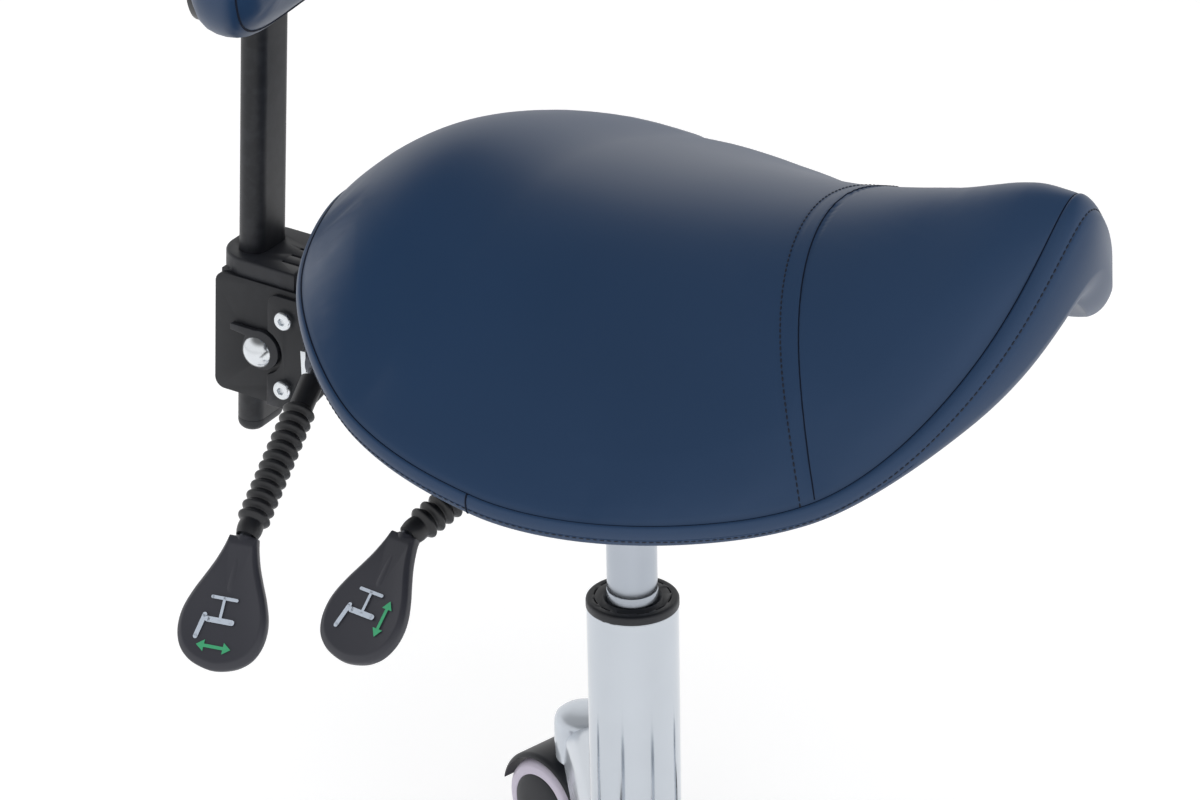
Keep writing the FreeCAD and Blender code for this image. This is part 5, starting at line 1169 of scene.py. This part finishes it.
def make_leg_tips():
    """Smooth cast ends of the five legs, round and slightly domed."""
    profile = [(radius, LEG_TIP_TOP + rise) for radius, rise in LEG_TIP_PROFILE]
    for number in range(5):
        angle = math.radians(36.0 + 72.0 * number)
        place = Vector((LEG_REACH * math.cos(angle), LEG_REACH * math.sin(angle), 0.0))
        name = f"leg_{number + 1}_tip"
        tip = new_object(name, turned_mesh(name, profile, 72, place))
        finish_piece(tip, "chrome_cast", "base", 50.0)


def make_hardware():
    """Softened copies of the folded, cast, turned and moulded pieces that show."""
    for finish, widths in SOFT_EDGES.items():
        for node, width in widths.items():
            piece = bevelled(node, finish, width)
            if node == "seat_pan":
                tuck_pan(piece)
    for i in range(1, 6):
        for part, finish, width in CASTER_EDGES:
            bevelled(f"caster_{i}_{part}", finish, width)


def make_column():
    """Chromed tube with a rolled lip, and the satin cylinder that slides in it."""
    low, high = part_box("column_tube")
    profile = [
        (0.0234, low.z), (0.0244, low.z), (0.0250, low.z + 0.056), (0.0250, high.z - 0.0012),
        (0.0249, high.z - 0.0004), (0.0246, high.z), (0.0238, high.z), (0.0234, high.z - 0.0004),
        (0.0234, high.z - 0.004), (0.0234, low.z),
    ]
    rows = []
    for (r0, z0), (r1, z1) in zip(profile[:-1], profile[1:]):
        steps = 60 if abs(z1 - z0) > 0.1 else 1
        for step in range(steps):
            rows.append((r0 + (r1 - r0) * step / steps, z0 + (z1 - z0) * step / steps))
    piece = new_object("chrome_column", turned_mesh("chrome_column", rows, 160))
    finish_piece(piece, "chrome", "base", 40.0)
    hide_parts("column_tube")
    low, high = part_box("pressure_cylinder")
    step, collar = (COLUMN_TOP + 10.0) / 1000.0, (COLUMN_TOP + 72.0) / 1000.0
    profile = [
        (0.0051, low.z), (0.0136, low.z), (0.0140, low.z + 0.0004), (0.0140, step - 0.0005),
        (0.01385, step - 0.0002), (0.01365, step), (0.0137, step + 0.0004), (0.0137, collar),
        (0.0127, high.z - 0.0005), (0.0122, high.z), (0.0041, high.z),
    ]
    piece = new_object("satin_cylinder", turned_mesh("satin_cylinder", profile, 128))
    finish_piece(piece, "satin", "column", 30.0)
    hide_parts("pressure_cylinder")


def make_spring():
    """Coil that pushes the seat plate up; the real one is pressed shorter as the seat tilts back, this one
    keeps its length and rides the column.
    """
    low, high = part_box("tilt_spring")
    wire, radius, turns, steps = 0.0018, 0.0115, 7, 28
    centre = (low + high) / 2.0
    height = high.z - low.z - 2 * wire
    points = []
    for step in range(turns * steps + 1):
        angle = step / steps * 2 * math.pi
        z = low.z + wire + height * step / (turns * steps)
        points.append(Vector((centre.x + radius * math.cos(angle), centre.y + radius * math.sin(angle), z)))
    coil = round_tube("tilt_coil", points, wire, 4, capped=True)
    finish_piece(coil, "satin", "column", 60.0)
    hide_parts("tilt_spring")
    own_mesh(coil)


# Stage

LAMPS = (
    ("key_light", (-1.6, -1.2, 2.4), 1.8, 22.0),
    ("fill_light", (1.6, -1.6, 1.8), 1.6, 10.0),
    ("rear_light", (0.4, 2.0, 2.0), 1.8, 14.0),
)


def make_floor():
    """Plain pale floor that glows a little, so that it stays white round the stool's shadow."""
    size = 14.0
    corners = [(-size, -size, 0), (size, -size, 0), (size, size, 0), (-size, size, 0)]
    mesh = made_mesh("floor", corners, [(0, 1, 2, 3)])
    material, _, shader = start_material("pale_floor", 0.7, 0.0, 0.2)
    shader["Base Color"].default_value = (0.86, 0.86, 0.865, 1.0)
    shader["Emission Color"].default_value = (1.0, 1.0, 1.0, 1.0)
    shader["Emission Strength"].default_value = 0.35
    mesh.materials.append(material)
    floor = new_object("floor", mesh)


def make_surround():
    """White surround for the camera, and a darker ceiling for metal to show."""
    world = bpy.data.worlds.new("studio")
    scene.world = world
    world.use_nodes = True
    world.node_tree.nodes.clear()
    nodes = Nodes(world.node_tree)
    coords = nodes.add("ShaderNodeTexCoord")
    split = nodes.put("ShaderNodeSeparateXYZ", {0: coords.outputs["Generated"]})
    ceiling = nodes.ramp(split.outputs["Z"], 0.38, 0.80)
    ray = nodes.add("ShaderNodeLightPath").outputs
    seen = nodes.math("MAXIMUM", ray["Is Camera Ray"], ray["Is Transmission Ray"])
    glossy = nodes.put("ShaderNodeMapRange", {"Value": ceiling, "To Min": 1.0, "To Max": 0.16})
    kinds = {"Factor": ray["Is Glossy Ray"], "A": 0.55, "B": glossy.outputs["Result"]}
    plain = nodes.put("ShaderNodeMix", kinds, data_type="FLOAT")
    kinds = {"Factor": seen, "A": plain.outputs["Result"], "B": 1.0}
    strength = nodes.put("ShaderNodeMix", kinds, data_type="FLOAT").outputs["Result"]
    background = nodes.put("ShaderNodeBackground", {"Color": (1.0, 1.0, 1.0, 1.0), "Strength": strength})
    nodes.put("ShaderNodeOutputWorld", {0: background.outputs[0]})


def make_lamps():
    for name, place, size, power in LAMPS:
        data = bpy.data.lights.new(name, "AREA")
        data.size = size
        data.energy = power
        lamp = new_object(name, data)
        lamp.location = place
        aim = Vector((0, 0, 0.45)) - Vector(place)
        lamp.rotation_euler = aim.to_track_quat("-Z", "Y").to_euler()
        lamp.visible_glossy = False


make_camera()
dress_cad_nodes()
make_seat()
make_pad()
make_levers()
make_hardware()
make_column()
make_leg_tips()
make_spring()
make_floor()
make_surround()
make_lamps()
scene.view_settings.view_transform = "Standard"
